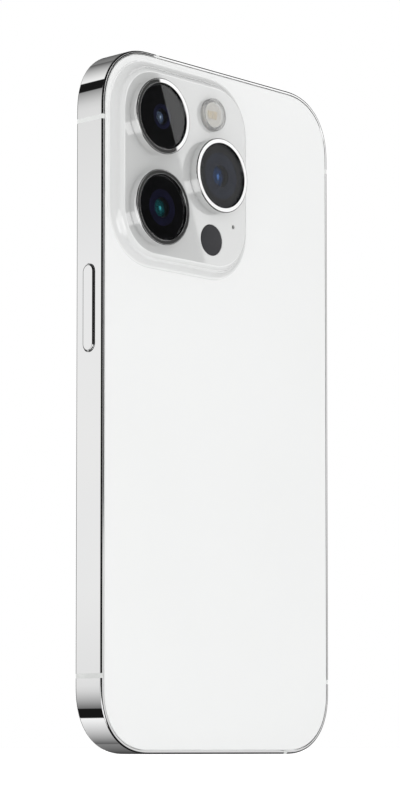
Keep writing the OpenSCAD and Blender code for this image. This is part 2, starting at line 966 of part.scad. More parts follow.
module screws() {
    color("darkgray")
    upright() {
        for (s = [-1, 1]) {
            translate([s * screw_from_middle, 0.15, z_mid])
            rotate([90, 0, 0])
            screw(band_wall + 0.1);
        }
        for (p = board_posts) {
            translate([p[0], p[1], z_board + board_t + 0.7])
            screw(board_t + 1.9);
        }
    }
}

// Fine meshes on the inner side of the port end's wall, behind the two rows of holes.
module port_end_meshes() {
    border = 0.4;
    half = 1.1;
    color([0.2, 0.2, 0.2])
    upright()
    intersection() {
        union() {
            for (holes = [speaker_holes, mic_holes]) {
                x0 = min(holes) - hole_r - border;
                x1 = max(holes) + hole_r + border;
                block(x0, x1, band_wall, band_wall + mesh_t, z_mid - half, z_mid + half);
            }
        }
        body_plate(band_wall, z_floor, z_roof);
    }
}

// The loudspeaker's corners follow the band's inner corner, up to half of its own height.
module loudspeaker() {
    wall_gap = 0.6;
    w = speaker_right - speaker_left;
    h = end_bay - 2 * wall_gap;
    r = min(cavity_r - 2, h / 2 - eps);
    color([0.12, 0.12, 0.12])
    upright()
    plate(speaker_left + w / 2, band_wall + wall_gap + h / 2, w, h, r, z_floor, z_roof);
}

// The haptic motor's case, hollow so that its mass can swing.
module haptic_case() {
    x1 = haptic_left + haptic_w;
    y1 = haptic_bottom + haptic_h;
    t = haptic_wall;
    color("silver")
    upright()
    difference() {
        block(haptic_left, x1, haptic_bottom, y1, z_floor, z_roof);
        block(haptic_left + t, x1 - t, haptic_bottom + t, y1 - t, z_floor + t, z_roof - t);
    }
}

module haptic_mass() {
    t = haptic_wall;
    side = t + haptic_travel + 0.2;
    rest = t + 0.2;
    color([0.35, 0.35, 0.37])
    upright()
    block(haptic_left + side, haptic_left + haptic_w - side, haptic_bottom + rest,
        haptic_bottom + haptic_h - rest, z_floor + rest, z_roof - rest);
}

card_x = tray_x + 1.6 + card_l / 2;
tray_z = z_mid - tray_t / 2;
card_floor = 0.2;

module card_tray() {
    lip_in = half_w - 1.5;
    color("gainsboro")
    upright()
    difference() {
        union() {
            side_slot(lip_in, half_w - 0.03, tray_y, tray_lip_l, tray_lip_w, z_mid);
            block(tray_x, lip_in + eps, tray_y - tray_w / 2, tray_y + tray_w / 2,
                tray_z, tray_z + tray_t);
        }
        block(card_x - card_l / 2 - 0.1, card_x + card_l / 2 + 0.1, tray_y - card_w / 2 - 0.1,
            tray_y + card_w / 2 + 0.1, tray_z + card_floor, tray_z + tray_t + 1);
        block(card_x - card_l / 2 + 0.8, card_x + card_l / 2 - 0.8, tray_y - card_w / 2 + 0.8,
            tray_y + card_w / 2 - 0.8, tray_z - 1, tray_z + tray_t + 1);
        translate([lip_in - 1, tray_y + tray_lip_l / 2 - 1.4, z_mid])
        rotate([0, 90, 0])
        cylinder(h = 4, r = eject_r);
    }
}

module sim_card() {
    z0 = tray_z + card_floor;
    color("gold")
    upright()
    block(card_x - card_l / 2, card_x + card_l / 2, tray_y - card_w / 2, tray_y + card_w / 2,
        z0, z0 + card_t);
}

// The reader: a sheet metal box with a channel that the tray slides into.
module card_reader() {
    x1 = wall_x - 0.2;
    half = tray_lip_l / 2 + 0.6;
    channel = tray_w / 2 + 0.3;
    color("silver")
    upright()
    difference() {
        block(tray_x - 1, x1, tray_y - half, tray_y + half, z_floor, z_mid + tray_lip_w / 2 + 0.5);
        block(tray_x - 0.4, x1 + 1, tray_y - channel, tray_y + channel, z_mid - 0.75, z_mid + 0.75);
    }
}

module battery() {
    color([0.12, 0.12, 0.13])
    upright()
    plate((battery_left + battery_right) / 2, (battery_bottom + battery_top) / 2,
        battery_right - battery_left, battery_top - battery_bottom, 2, z_floor, z_roof);
}

// The logic board is an L: a long arm beside the battery and a shelf beside the cameras.
module logic_board() {
    high = z_board + board_t;
    color([0.05, 0.12, 0.1])
    upright()
    difference() {
        union() {
            block(board_left, board_right, board_bottom, board_top, z_board, high);
            block(board_shelf_left, board_right, board_shelf_bottom, board_top, z_board, high);
        }
        for (p = board_posts) {
            post(p[0], p[1], thread_r + 0.1, z_board - 1, high + 1);
        }
    }
}

// Three shielding cans: two on the back of the board and one on its front.
module board_shields() {
    inset = 1;
    low = z_board + board_t;
    high = z_roof - 0.3;
    color("silver")
    upright() {
        block(board_left + inset, board_right - inset, board_bottom + 5, board_shelf_bottom - 5, low, high);
        block(board_shelf_left + inset + 4, board_right - inset, board_shelf_bottom + 1, board_top - inset,
            low, high);
        block(board_left + inset, board_right - 4, board_bottom + 5, board_top - inset,
            z_floor + 0.1, z_board);
    }
}

// The coil's windings as flat rings around one centre, over the battery.
module charging_coil() {
    turns = 5;
    pitch = 2.2;
    color([0.72, 0.45, 0.2])
    upright()
    translate([0, coil_y, z_coil])
    for (i = [0 : turns - 1]) {
        outer = coil_r - i * pitch;
        difference() {
            cylinder(h = coil_t, r = outer);
            translate([0, 0, -1])
            cylinder(h = coil_t + 2, r = outer - pitch + 0.4);
        }
    }
}

// A ring of arc magnets around the coil, with a gap between neighbours.
module magnet_ring() {
    step = 360 / magnet_count;
    gap = 1.5;
    color([0.5, 0.5, 0.52])
    upright()
    translate([0, coil_y, z_coil])
    for (i = [0 : magnet_count - 1]) {
        rotate([0, 0, i * step])
        rotate_extrude(angle = step - gap)
        translate([magnet_r - magnet_w, 0])
        square([magnet_w, coil_t]);
    }
}

band_button_side();
band_volume_side();
band_camera_corner();
band_far_top_corner();
band_port_end();
band_far_port_corner();
antenna_breaks();
middle_plate();
back_glass();
glass_seals();
cover_glass();
display_panel();
display_frame();
earpiece_mesh();
earpiece_speaker();
front_camera();
face_sensors();
side_button();
volume_up_button();
volume_down_button();
mute_switch();
mute_switch_base();
button_switches();
camera_ring(lens_x, upper_y);  // camera_ring_upper
camera_ring(lens_x, lower_y);  // camera_ring_lower
camera_ring(inner_lens_x, inner_y);  // camera_ring_inner
camera_glass(lens_x, upper_y);  // camera_glass_upper
camera_glass(lens_x, lower_y);  // camera_glass_lower
camera_glass(inner_lens_x, inner_y);  // camera_glass_inner
lens_barrel(lens_x, upper_y);  // lens_barrel_upper
lens_barrel(lens_x, lower_y);  // lens_barrel_lower
lens_barrel(inner_lens_x, inner_y);  // lens_barrel_inner
lens_element(lens_x, upper_y);  // lens_element_upper
lens_element(lens_x, lower_y);  // lens_element_lower
lens_element(inner_lens_x, inner_y);  // lens_element_inner
camera_housing(lens_x, upper_y);  // camera_housing_upper
camera_housing(lens_x, lower_y);  // camera_housing_lower
camera_housing(inner_lens_x, inner_y);  // camera_housing_inner
image_sensors();
camera_bracket();
flash_lens();
flash_led();
range_window();
range_module();
rear_microphone();
charge_port();
port_contacts();
screws();
port_end_meshes();
loudspeaker();
haptic_case();
haptic_mass();
card_tray();
sim_card();
card_reader();
battery();
logic_board();
board_shields();
charging_coil();
magnet_ring();
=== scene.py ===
"""A slim phone with a polished steel band, standing on its port end, seen from behind.

Shapes are worked out in millimetres from the boxes of the design's nodes, and scaled to metres at the end.
"""
import json
import math

import bmesh
import bpy
from mathutils import Euler, Matrix, Vector


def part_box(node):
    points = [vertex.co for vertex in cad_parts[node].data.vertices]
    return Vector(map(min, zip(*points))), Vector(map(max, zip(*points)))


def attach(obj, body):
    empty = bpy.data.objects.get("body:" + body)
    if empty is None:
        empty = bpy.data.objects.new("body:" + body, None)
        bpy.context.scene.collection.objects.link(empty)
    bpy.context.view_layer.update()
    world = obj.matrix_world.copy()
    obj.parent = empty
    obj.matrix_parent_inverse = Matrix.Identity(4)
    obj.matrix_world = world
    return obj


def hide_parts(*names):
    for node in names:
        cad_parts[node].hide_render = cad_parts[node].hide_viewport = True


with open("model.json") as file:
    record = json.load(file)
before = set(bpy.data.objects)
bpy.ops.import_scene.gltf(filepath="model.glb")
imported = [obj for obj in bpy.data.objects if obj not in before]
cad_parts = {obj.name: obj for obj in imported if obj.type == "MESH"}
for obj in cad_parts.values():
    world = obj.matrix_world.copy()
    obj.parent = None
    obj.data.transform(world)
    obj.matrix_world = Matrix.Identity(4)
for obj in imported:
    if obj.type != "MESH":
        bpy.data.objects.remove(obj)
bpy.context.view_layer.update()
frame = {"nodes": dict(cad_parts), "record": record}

MM = 0.001
WELD = 1e-5
SUPPORT = 0.02
FULL_TURN = 2 * math.pi
QUARTER_TURN = math.pi / 2


def box_mm(node):
    """The lowest and highest corner of a node, in millimetres."""
    low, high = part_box(node)
    return low / MM, high / MM


def middle_mm(node):
    """The centre of a node's box, in millimetres."""
    low, high = box_mm(node)
    return (low + high) / 2


# ---------------------------------------------------------------- sizes

# The band
SIDE_LOW, SIDE_HIGH = box_mm("band_button_side")
TOP_CORNER_LOW, TOP_CORNER_HIGH = box_mm("band_camera_corner")
FAR_CORNER_LOW, FAR_CORNER_HIGH = box_mm("band_far_top_corner")
PORT_END_LOW, PORT_END_HIGH = box_mm("band_port_end")
PORT_CORNER_HIGH = box_mm("band_far_port_corner")[1]
HALF_W = SIDE_HIGH.x
BODY_H = TOP_CORNER_HIGH.z
BAND_FRONT = SIDE_LOW.y
BAND_BACK = SIDE_HIGH.y
BAND_MIDDLE = (BAND_FRONT + BAND_BACK) / 2
BAND_WALL = SIDE_HIGH.x - SIDE_LOW.x
EDGE_R = 0.36
RIM_W = 0.7
NICK = 0.06
CORNER_R = 14
CORNER_POWER = 2.3
CORNER_STEPS = 40
BREAK_SINK = 0.015

# The glass on both faces
COVER_LOW, COVER_HIGH = box_mm("cover_glass")
GLASS_LOW, GLASS_HIGH = box_mm("back_glass")
SEAL_T = 0.15
FRAME_T = 1.2
BACK_T = 0.8
BACK_FACE = GLASS_LOW.y + BACK_T
DECK = GLASS_HIGH.y
GLASS_EDGE_R = 0.2
COVER_GAP = 0.02
SEAM = 0.11
GLASS_INSET = RIM_W + SEAM

# The plateau and what stands on it
UPPER, LOWER, INNER = (middle_mm(f"camera_ring_{name}") for name in ("upper", "lower", "inner"))
RING_TOP = box_mm("camera_ring_upper")[1].y
RING_R = (box_mm("camera_ring_upper")[1].x - box_mm("camera_ring_upper")[0].x) / 2
RING_FACE_W = 1.05
DECK_ACROSS = 9.3
DECK_ALONG = 9.5
DECK_MIDDLE = ((UPPER.x + INNER.x) / 2, INNER.z)
DECK_HALF = ((UPPER.x - INNER.x) / 2 + DECK_ACROSS, (UPPER.z - LOWER.z) / 2 + DECK_ALONG)
SKIRT_W = 2.8
SKIRT_TOP_R = 1.1
FLASH = middle_mm("flash_lens")
FLASH_TOP = box_mm("flash_lens")[1].y
FLASH_R = (box_mm("flash_lens")[1].x - box_mm("flash_lens")[0].x) / 2
RANGE = middle_mm("range_window")
RANGE_R = (box_mm("range_window")[1].x - box_mm("range_window")[0].x) / 2
MICROPHONE = middle_mm("rear_microphone")
MICROPHONE_R = 0.4
HOLE_GAP = 0.06

# The controls
BUTTON_W = 3.2
BUTTON_GAP = 0.08
FLANGE = 0.8
MUTE_SLOT_W = 3.4


# ---------------------------------------------------------------- mesh making

def on_back(a, b, level):
    """A point on the back: a across, b up, level out of the back."""
    return Vector((a, level, b))


def on_right(a, b, level):
    """A point on the button side: a towards the back, b up, level out of the side."""
    return Vector((level, a, b))


def on_left(a, b, level):
    """A point on the volume side: a towards the back, b up, level out of the side."""
    return Vector((-level, a, b))


def on_port_end(a, b, level):
    """A point on the port end: a across, b towards the back, level out of the end."""
    return Vector((a, b, -level))


def corner_point(angle, radius, power):
    """A point of a rounded corner where its normal has that angle, measured from the corner's centre."""
    if angle > QUARTER_TURN - 1e-9:
        return 0.0, radius
    ratio = math.tan(angle) ** (1 / (power - 1))
    across = radius / (1 + ratio ** power) ** (1 / power)
    return across, across * ratio


def rounded_outline(centre, half, radius, power=2.0, steps=16):
    """A rectangle with rounded corners, as points with their outward normals."""
    points = []
    for quarter, (side_a, side_b) in enumerate(((1, 1), (-1, 1), (-1, -1), (1, -1))):
        for step in range(steps + 1):
            share = step / steps if quarter % 2 == 0 else 1 - step / steps
            angle = QUARTER_TURN * share
            a, b = corner_point(angle, radius, power)
            points.append((
                centre[0] + side_a * (half[0] - radius + a),
                centre[1] + side_b * (half[1] - radius + b),
                side_a * math.cos(angle),
                side_b * math.sin(angle),
            ))
    return points


def pill_outline(centre, half, steps=14):
    """A slot's outline, round at both ends of its longer side."""
    return rounded_outline(centre, half, min(half), steps=steps)


def round_outline(centre, radius, steps=72):
    """A circle, as points with their outward normals."""
    angles = [FULL_TURN * step / steps for step in range(steps)]
    return [
        (centre[0] + radius * math.cos(t), centre[1] + radius * math.sin(t), math.cos(t), math.sin(t))
        for t in angles
    ]


def arc(centre, radius, start, end, steps=8):
    """Points on an arc, with its angles in degrees."""
    angles = [math.radians(start + (end - start) * step / steps) for step in range(steps + 1)]
    return [(centre[0] + radius * math.cos(t), centre[1] + radius * math.sin(t)) for t in angles]


def add_loop(bm, outline, inset, level, place):
    """A ring of points, the outline moved inwards by inset."""
    return [bm.verts.new(place(a - inset * na, b - inset * nb, level)) for a, b, na, nb in outline]


def bridge(bm, first, second):
    """Quads between two closed loops of points. Returns them."""
    faces = []
    for i in range(len(first)):
        j = (i + 1) % len(first)
        faces.append(bm.faces.new((first[i], first[j], second[j], second[i])))
    return faces


def skin(bm, loops):
    """Bridges each loop to the next. Returns the quads."""
    faces = []
    for first, second in zip(loops, loops[1:]):
        faces += bridge(bm, first, second)
    return faces


def crown(edge, top, steps):
    """A rounded edge, as (inset, level) from the wall up to the top."""
    angles = [QUARTER_TURN * (1 - step / steps) for step in range(steps + 1)]
    return [(edge - edge * math.sin(t), top - edge + edge * math.cos(t)) for t in angles]


def supported(profile, closed=False):
    """The profile with a point near each end of its long stretches, which keeps them flat in shading."""
    points = []
    ends = profile[1:] + profile[:1] if closed else profile[1:]
    for (a, b), (end_a, end_b) in zip(profile, ends):
        points.append((a, b))
        length = math.hypot(end_a - a, end_b - b)
        if length > 5 * SUPPORT:
            share = SUPPORT / length
            for part in (share, 1 - share):
                points.append((a + (end_a - a) * part, b + (end_b - b) * part))
    return points if closed else points + profile[-1:]


def shell(bm, outline, profile, place, capped=True):
    """A solid whose outline is inset along a profile of (inset, level). Uncapped, the profile is closed."""
    if capped:
        (first_inset, first_level), (last_inset, last_level) = profile[0], profile[-1]
        profile = [(first_inset + SUPPORT, first_level)] + profile + [(last_inset + SUPPORT, last_level)]
    profile = supported(profile, closed=not capped)
    loops = [add_loop(bm, outline, inset, level, place) for inset, level in profile]
    skin(bm, loops)
    if capped:
        bm.faces.new(loops[0])
        bm.faces.new(loops[-1])
    else:
        bridge(bm, loops[-1], loops[0])
    return loops


def lathe(bm, centre, profile, place=on_back, capped=True, steps=96):
    """A turned solid from a profile of (radius, level)."""
    return shell(bm, round_outline(centre, 0, steps), [(-r, level) for r, level in profile], place, capped)


def fill(bm, loops):
    """Flat faces between an outer loop and the loops of its holes. Returns them."""
    edges = []
    for loop in loops:
        for first, second in zip(loop, loop[1:] + loop[:1]):
            edges.append(bm.edges.get((first, second)) or bm.edges.new((first, second)))
    made = bmesh.ops.triangle_fill(bm, use_beauty=True, edges=edges)["geom"]
    return [item for item in made if isinstance(item, bmesh.types.BMFace)]


def clean(bm):
    """Welds doubled points and turns every face outwards."""
    bmesh.ops.remove_doubles(bm, verts=bm.verts, dist=WELD)
    bmesh.ops.dissolve_degenerate(bm, dist=WELD, edges=bm.edges)
    bmesh.ops.recalc_face_normals(bm, faces=bm.faces)


def as_object(bm, name):
    """A plain object with the mesh of bm, which is used up."""
    clean(bm)
    mesh = bpy.data.meshes.new(name)
    bm.to_mesh(mesh)
    bm.free()
    made = bpy.data.objects.new(name, mesh)
    bpy.context.scene.collection.objects.link(made)
    return made


def carve(bm, cutters):
    """The solid with the cutters taken away. Both are used up."""
    block = as_object(bm, "block")
    tool = as_object(cutters, "tool")
    cut = block.modifiers.new("cut", "BOOLEAN")
    cut.operation = "DIFFERENCE"
    cut.solver = "EXACT"
    cut.object = tool
    graph = bpy.context.evaluated_depsgraph_get()
    carved = bpy.data.meshes.new_from_object(block.evaluated_get(graph))
    result = bmesh.new()
    result.from_mesh(carved)
    for scrap in (block, tool):
        used = scrap.data
        bpy.data.objects.remove(scrap)
        bpy.data.meshes.remove(used)
    bpy.data.meshes.remove(carved)
    return result


def piece(name, bm, materials, body, nodes, sharp=32):
    """Turns a mesh in millimetres into a finished piece that rides on a body."""
    made = as_object(bm, name)
    made.data.transform(Matrix.Scale(MM, 4))
    made.data.polygons.foreach_set("use_smooth", [True] * len(made.data.polygons))
    made.data.set_sharp_from_angle(angle=math.radians(sharp))
    for material in materials:
        made.data.materials.append(material)
    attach(made, body)
    if nodes:
        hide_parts(*nodes)
    return made


# ---------------------------------------------------------------- node making

class Graph:
    """Short ways to add nodes to a tree."""

    def __init__(self, tree):
        self.tree = tree

    def add(self, kind, inputs=None, **settings):
        """A node with its settings. An input is given a number, a colour or another node's output."""
        node = self.tree.nodes.new(kind)
        for name, value in settings.items():
            setattr(node, name, value)
        for key, value in (inputs or {}).items():
            self.feed(node.inputs[key], value)
        return node

    def feed(self, socket, value):
        """Links an output to the socket, or sets its value."""
        if isinstance(value, bpy.types.NodeSocket):
            self.tree.links.new(value, socket)
        else:
            socket.default_value = value

    def math(self, operation, first, second=0.0, clamp=False):
        """The result of one sum."""
        node = self.add("ShaderNodeMath", {0: first, 1: second}, operation=operation, use_clamp=clamp)
        return node.outputs[0]

    def ramp(self, value, low, high, to_low=0.0, to_high=1.0, smooth=True):
        """A value carried from one range to another, and held at its ends."""
        style = "SMOOTHSTEP" if smooth else "LINEAR"
        node = self.add(
            "ShaderNodeMapRange",
            {"Value": value, "From Min": low, "From Max": high, "To Min": to_low, "To Max": to_high},
            interpolation_type=style,
        )
        return node.outputs["Result"]

    def mix(self, share, first, second):
        """first where share is 0, second where it is 1."""
        node = self.add("ShaderNodeMix", data_type="FLOAT")
        self.feed(node.inputs[0], share)
        self.feed(node.inputs[2], first)
        self.feed(node.inputs[3], second)
        return node.outputs[0]

    def mix_colour(self, share, first, second):
        """The same for colours."""
        node = self.add("ShaderNodeMix", data_type="RGBA")
        self.feed(node.inputs[0], share)
        self.feed(node.inputs[6], first)
        self.feed(node.inputs[7], second)
        return node.outputs[2]

    def dot(self, vector, direction):
        """How far a vector lies along a direction."""
        node = self.add("ShaderNodeVectorMath", {0: vector, 1: direction}, operation="DOT_PRODUCT")
        return node.outputs["Value"]

    def noise(self, vector, scale, detail=2.0, roughness=0.5):
        """Smooth random values."""
        inputs = {"Vector": vector, "Scale": scale, "Detail": detail, "Roughness": roughness}
        return self.add("ShaderNodeTexNoise", inputs).outputs[0]


def effect_group(name, inputs, outputs):
    """An empty node group with named inputs and outputs. Returns its graph, input node and output node."""
    tree = bpy.data.node_groups.new(name, "ShaderNodeTree")
    for label, kind, value in inputs:
        socket = tree.interface.new_socket(name=label, in_out="INPUT", socket_type=kind)
        if value is not None:
            socket.default_value = value
    for label, kind in outputs:
        tree.interface.new_socket(name=label, in_out="OUTPUT", socket_type=kind)
    return Graph(tree), tree.nodes.new("NodeGroupInput"), tree.nodes.new("NodeGroupOutput")


FLOAT = "NodeSocketFloat"
COLOUR = "NodeSocketColor"
VECTOR = "NodeSocketVector"


def make_grain_group():
    """Fine even grain, as on blasted, frosted or moulded surfaces."""
    graph, given, out = effect_group(
        "fine_grain",
        [("Vector", VECTOR, None), ("Scale", FLOAT, 4000.0), ("Contrast", FLOAT, 1.0)],
        [("Height", FLOAT), ("Mask", FLOAT)],
    )
    coarse = graph.noise(given.outputs["Vector"], given.outputs["Scale"], detail=3.0)
    fine_scale = graph.math("MULTIPLY", given.outputs["Scale"], 3.7)
    fine = graph.noise(given.outputs["Vector"], fine_scale, detail=1.0)
    both = graph.math("ADD", graph.math("MULTIPLY", coarse, 0.65), graph.math("MULTIPLY", fine, 0.35))
    height = graph.math("MULTIPLY", both, given.outputs["Contrast"])
    graph.feed(out.inputs["Height"], height)
    graph.feed(out.inputs["Mask"], graph.ramp(both, 0.4, 0.6))
    return graph.tree


def make_smudge_group():
    """Faint marks of handling, as a roughness that drifts around its base value."""
    graph, given, out = effect_group(
        "smudges",
        [("Vector", VECTOR, None), ("Base", FLOAT, 0.1), ("Amount", FLOAT, 0.05), ("Scale", FLOAT, 60.0)],
        [("Roughness", FLOAT), ("Mask", FLOAT)],
    )
    patches = graph.noise(given.outputs["Vector"], given.outputs["Scale"], detail=5.0, roughness=0.6)
    mask = graph.ramp(patches, 0.46, 0.68)
    spread = graph.math("MULTIPLY", mask, given.outputs["Amount"])
    graph.feed(out.inputs["Roughness"], graph.math("ADD", spread, given.outputs["Base"]))
    graph.feed(out.inputs["Mask"], mask)
    return graph.tree


def make_hairline_group():
    """Fine lines that run up the length, left by polishing or brushing."""
    graph, given, out = effect_group(
        "hairlines",
        [("Vector", VECTOR, None), ("Scale", FLOAT, 3000.0), ("Stretch", FLOAT, 0.02)],
        [("Height", FLOAT), ("Mask", FLOAT)],
    )
    squeeze = graph.add("ShaderNodeCombineXYZ", {0: 1.0, 1: 1.0, 2: given.outputs["Stretch"]})
    drawn = graph.add(
        "ShaderNodeVectorMath", {0: given.outputs["Vector"], 1: squeeze.outputs[0]}, operation="MULTIPLY"
    )
    lines = graph.noise(drawn.outputs[0], given.outputs["Scale"], detail=2.0, roughness=0.7)
    graph.feed(out.inputs["Height"], lines)
    graph.feed(out.inputs["Mask"], graph.ramp(lines, 0.6, 0.72))
    return graph.tree


def make_edge_group():
    """A mask of the edges, broken up by noise, where a surface wears first."""
    graph, given, out = effect_group(
        "edge_wear",
        [("Vector", VECTOR, None), ("Amount", FLOAT, 0.5), ("Scale", FLOAT, 900.0)],
        [("Mask", FLOAT)],
    )
    form = graph.add("ShaderNodeNewGeometry")
    edge = graph.ramp(form.outputs["Pointiness"], 0.51, 0.58)
    broken = graph.ramp(graph.noise(given.outputs["Vector"], given.outputs["Scale"], detail=4.0), 0.4, 0.62)
    worn = graph.math("MULTIPLY", edge, broken)
    graph.feed(out.inputs["Mask"], graph.math("MULTIPLY", worn, given.outputs["Amount"], clamp=True))
    return graph.tree


def make_drift_group():
    """A colour that drifts slowly between two near shades."""
    graph, given, out = effect_group(
        "shade_drift",
        [("Vector", VECTOR, None), ("First", COLOUR, None), ("Second", COLOUR, None),
         ("Scale", FLOAT, 30.0)],
        [("Color", COLOUR)],
    )
    cloud = graph.ramp(graph.noise(given.outputs["Vector"], given.outputs["Scale"], detail=3.0), 0.35, 0.65)
    graph.feed(out.inputs["Color"], graph.mix_colour(cloud, given.outputs["First"], given.outputs["Second"]))
    return graph.tree


GRAIN = make_grain_group()
SMUDGES = make_smudge_group()
HAIRLINES = make_hairline_group()
EDGE_WEAR = make_edge_group()
DRIFT = make_drift_group()


class Finish(Graph):
    """A material under way: its shader, the object's own coordinates and the shared effects."""

    def __init__(self, name, **fixed):
        self.material = bpy.data.materials.new(name)
        self.material.use_nodes = True
        super().__init__(self.material.node_tree)
        self.shader = self.tree.nodes["Principled BSDF"]
        self.place = self.add("ShaderNodeTexCoord").outputs["Object"]
        for label, value in fixed.items():
            self.shader.inputs[label.replace("_", " ")].default_value = value

    def group(self, tree, **inputs):
        """Places a shared effect with its own values."""
        node = self.add("ShaderNodeGroup", node_tree=tree)
        self.feed(node.inputs["Vector"], self.place)
        for label, value in inputs.items():
            self.feed(node.inputs[label], value)
        return node

    def shade(self, first, second, scale=30.0):
        """Sets a drifting base colour."""
        node = self.group(DRIFT, First=(*first, 1), Second=(*second, 1), Scale=scale)
        self.feed(self.shader.inputs["Base Color"], node.outputs["Color"])

    def smudge(self, base, amount, scale=60.0):
        """Sets a smudged roughness."""
        node = self.group(SMUDGES, Base=base, Amount=amount, Scale=scale)
        self.feed(self.shader.inputs["Roughness"], node.outputs["Roughness"])

    def bump(self, height, distance, strength=1.0):
        """Sets a small relief, its distance in metres."""
        node = self.add("ShaderNodeBump", {"Height": height, "Distance": distance, "Strength": strength})
        self.feed(self.shader.inputs["Normal"], node.outputs["Normal"])


# ---------------------------------------------------------------- materials

def mirror_steel(name="mirror_steel", tone=0.93):
    """Polished stainless steel with faint hairlines and handling marks."""
    finish = Finish(name, Metallic=1.0)
    finish.shade((tone, tone, tone * 0.995), (tone - 0.015, tone - 0.013, tone - 0.01), scale=25.0)
    finish.smudge(0.01, 0.014, scale=45.0)
    lines = finish.group(HAIRLINES, Scale=2600.0, Stretch=0.03)
    finish.bump(lines.outputs["Height"], 2e-8)
    return finish.material


def satin_steel(name, tone, roughness):
    """Stamped or brushed steel with visible lines and brighter worn edges."""
    finish = Finish(name, Metallic=1.0)
    darker = (tone * 0.9, tone * 0.9, tone * 0.92, 1)
    colour = finish.group(DRIFT, First=(tone, tone, tone, 1), Second=darker)
    worn = finish.group(EDGE_WEAR, Amount=0.6)
    bright = min(1.0, tone + 0.25)
    shade = finish.mix_colour(worn.outputs["Mask"], colour.outputs["Color"], (bright, bright, bright, 1))
    finish.feed(finish.shader.inputs["Base Color"], shade)
    finish.smudge(roughness, 0.08)
    lines = finish.group(HAIRLINES, Scale=4000.0, Stretch=0.05)
    finish.bump(lines.outputs["Height"], 4e-7)
    return finish.material


def frosted_glass():
    """White glass with an etched satin face."""
    finish = Finish("frosted_white_glass", IOR=1.5, Coat_Weight=1.0, Coat_IOR=1.8, Coat_Roughness=0.28)
    finish.shade((0.865, 0.872, 0.868), (0.856, 0.863, 0.858), scale=18.0)
    finish.smudge(0.30, 0.04, scale=40.0)
    grain = finish.group(GRAIN, Scale=7000.0)
    finish.bump(grain.outputs["Height"], 1.2e-6)
    return finish.material


def glossy_glass(name, tone):
    """The same glass left polished, with a hard coat. Its tone is given per use and holds painted shade or
    painted light.
    """
    finish = Finish(name, IOR=1.5, Coat_Weight=1.0, Coat_IOR=2.0, Coat_Roughness=0.015)
    finish.shade((tone, tone + 0.006, tone + 0.002), (tone - 0.01, tone - 0.004, tone - 0.008), scale=22.0)
    finish.smudge(0.02, 0.02, scale=70.0)
    ripple = finish.noise(finish.place, 120.0)
    finish.bump(ripple, 3e-7)
    return finish.material


def moulded_plastic(name, tone, roughness, grain=2500.0, wear=0.25):
    """Moulded plastic or coated metal with a fine grain and slightly worn edges."""
    finish = Finish(name)
    lighter = [min(1.0, channel * 1.25 + 0.004) for channel in tone]
    colour = finish.group(DRIFT, First=(*tone, 1), Second=(*lighter, 1), Scale=80.0)
    worn = finish.group(EDGE_WEAR, Amount=wear)
    edge = [min(1.0, channel + 0.12) for channel in tone]
    shade = finish.mix_colour(worn.outputs["Mask"], colour.outputs["Color"], (*edge, 1))
    finish.feed(finish.shader.inputs["Base Color"], shade)
    finish.smudge(roughness, 0.08, scale=90.0)
    texture = finish.group(GRAIN, Scale=grain)
    finish.bump(texture.outputs["Height"], 2e-6)
    return finish.material


def clear_glass(name, ior=1.5):
    """Clear glass. A low index stands for a coating that takes its reflections away."""
    finish = Finish(name, Transmission_Weight=1.0, IOR=ior)
    finish.shade((0.97, 0.98, 0.985), (0.95, 0.965, 0.975), scale=120.0)
    finish.smudge(0.0, 0.004, scale=150.0)
    return finish.material


def milky_glass():
    """The flash's cap, clear but slightly clouded."""
    finish = Finish("flash_cap_glass", Transmission_Weight=0.75, IOR=1.3)
    finish.shade((0.95, 0.95, 0.945), (0.93, 0.93, 0.925), scale=300.0)
    finish.smudge(0.1, 0.04, scale=200.0)
    return finish.material


def coated_lens(name, tint):
    """The front lens of a camera, dark with a coating that tints what it mirrors."""
    finish = Finish(name, Metallic=0.75, IOR=1.8)
    finish.shade(tint, [channel * 0.8 for channel in tint], scale=700.0)
    finish.smudge(0.03, 0.03, scale=300.0)
    return finish.material


def dark_print_and_painted_window(name, tone, roughness=0.5):
    """Dark ink under or beside a camera's glass; also the navy disc inside the lens, whose colour is painted
    shade and painted reflection of coated glass.
    """
    finish = Finish(name, Specular_IOR_Level=0.0)
    finish.shade(tone, [channel * 0.85 for channel in tone], scale=400.0)
    finish.smudge(roughness, 0.1, scale=300.0)
    grain = finish.group(GRAIN, Scale=9000.0)
    finish.bump(grain.outputs["Height"], 5e-7)
    return finish.material


def range_glass():
    """Dark glass that lets only infrared through."""
    finish = Finish("dark_range_glass", IOR=1.38)
    finish.shade((0.022, 0.022, 0.025), (0.03, 0.03, 0.033), scale=200.0)
    finish.smudge(0.06, 0.05, scale=200.0)
    return finish.material


def phosphor():
    """A light's die: yellow phosphor with fine grains."""
    finish = Finish("warm_phosphor", Coat_Weight=0.5)
    finish.shade((0.85, 0.62, 0.22), (0.9, 0.72, 0.35), scale=900.0)
    finish.smudge(0.3, 0.1, scale=500.0)
    grain = finish.group(GRAIN, Scale=12000.0)
    finish.bump(grain.outputs["Height"], 3e-6)
    return finish.material


def display_black():
    """A switched-off display: near black, with fine rows below the surface."""
    finish = Finish("dark_display", IOR=1.12)
    finish.shade((0.004, 0.004, 0.005), (0.006, 0.006, 0.0075), scale=40.0)
    finish.smudge(0.12, 0.05, scale=50.0)
    rows = finish.add("ShaderNodeTexWave", {"Vector": finish.place, "Scale": 3000.0}, bands_direction="Z")
    finish.bump(rows.outputs["Fac"], 2e-8)
    return finish.material


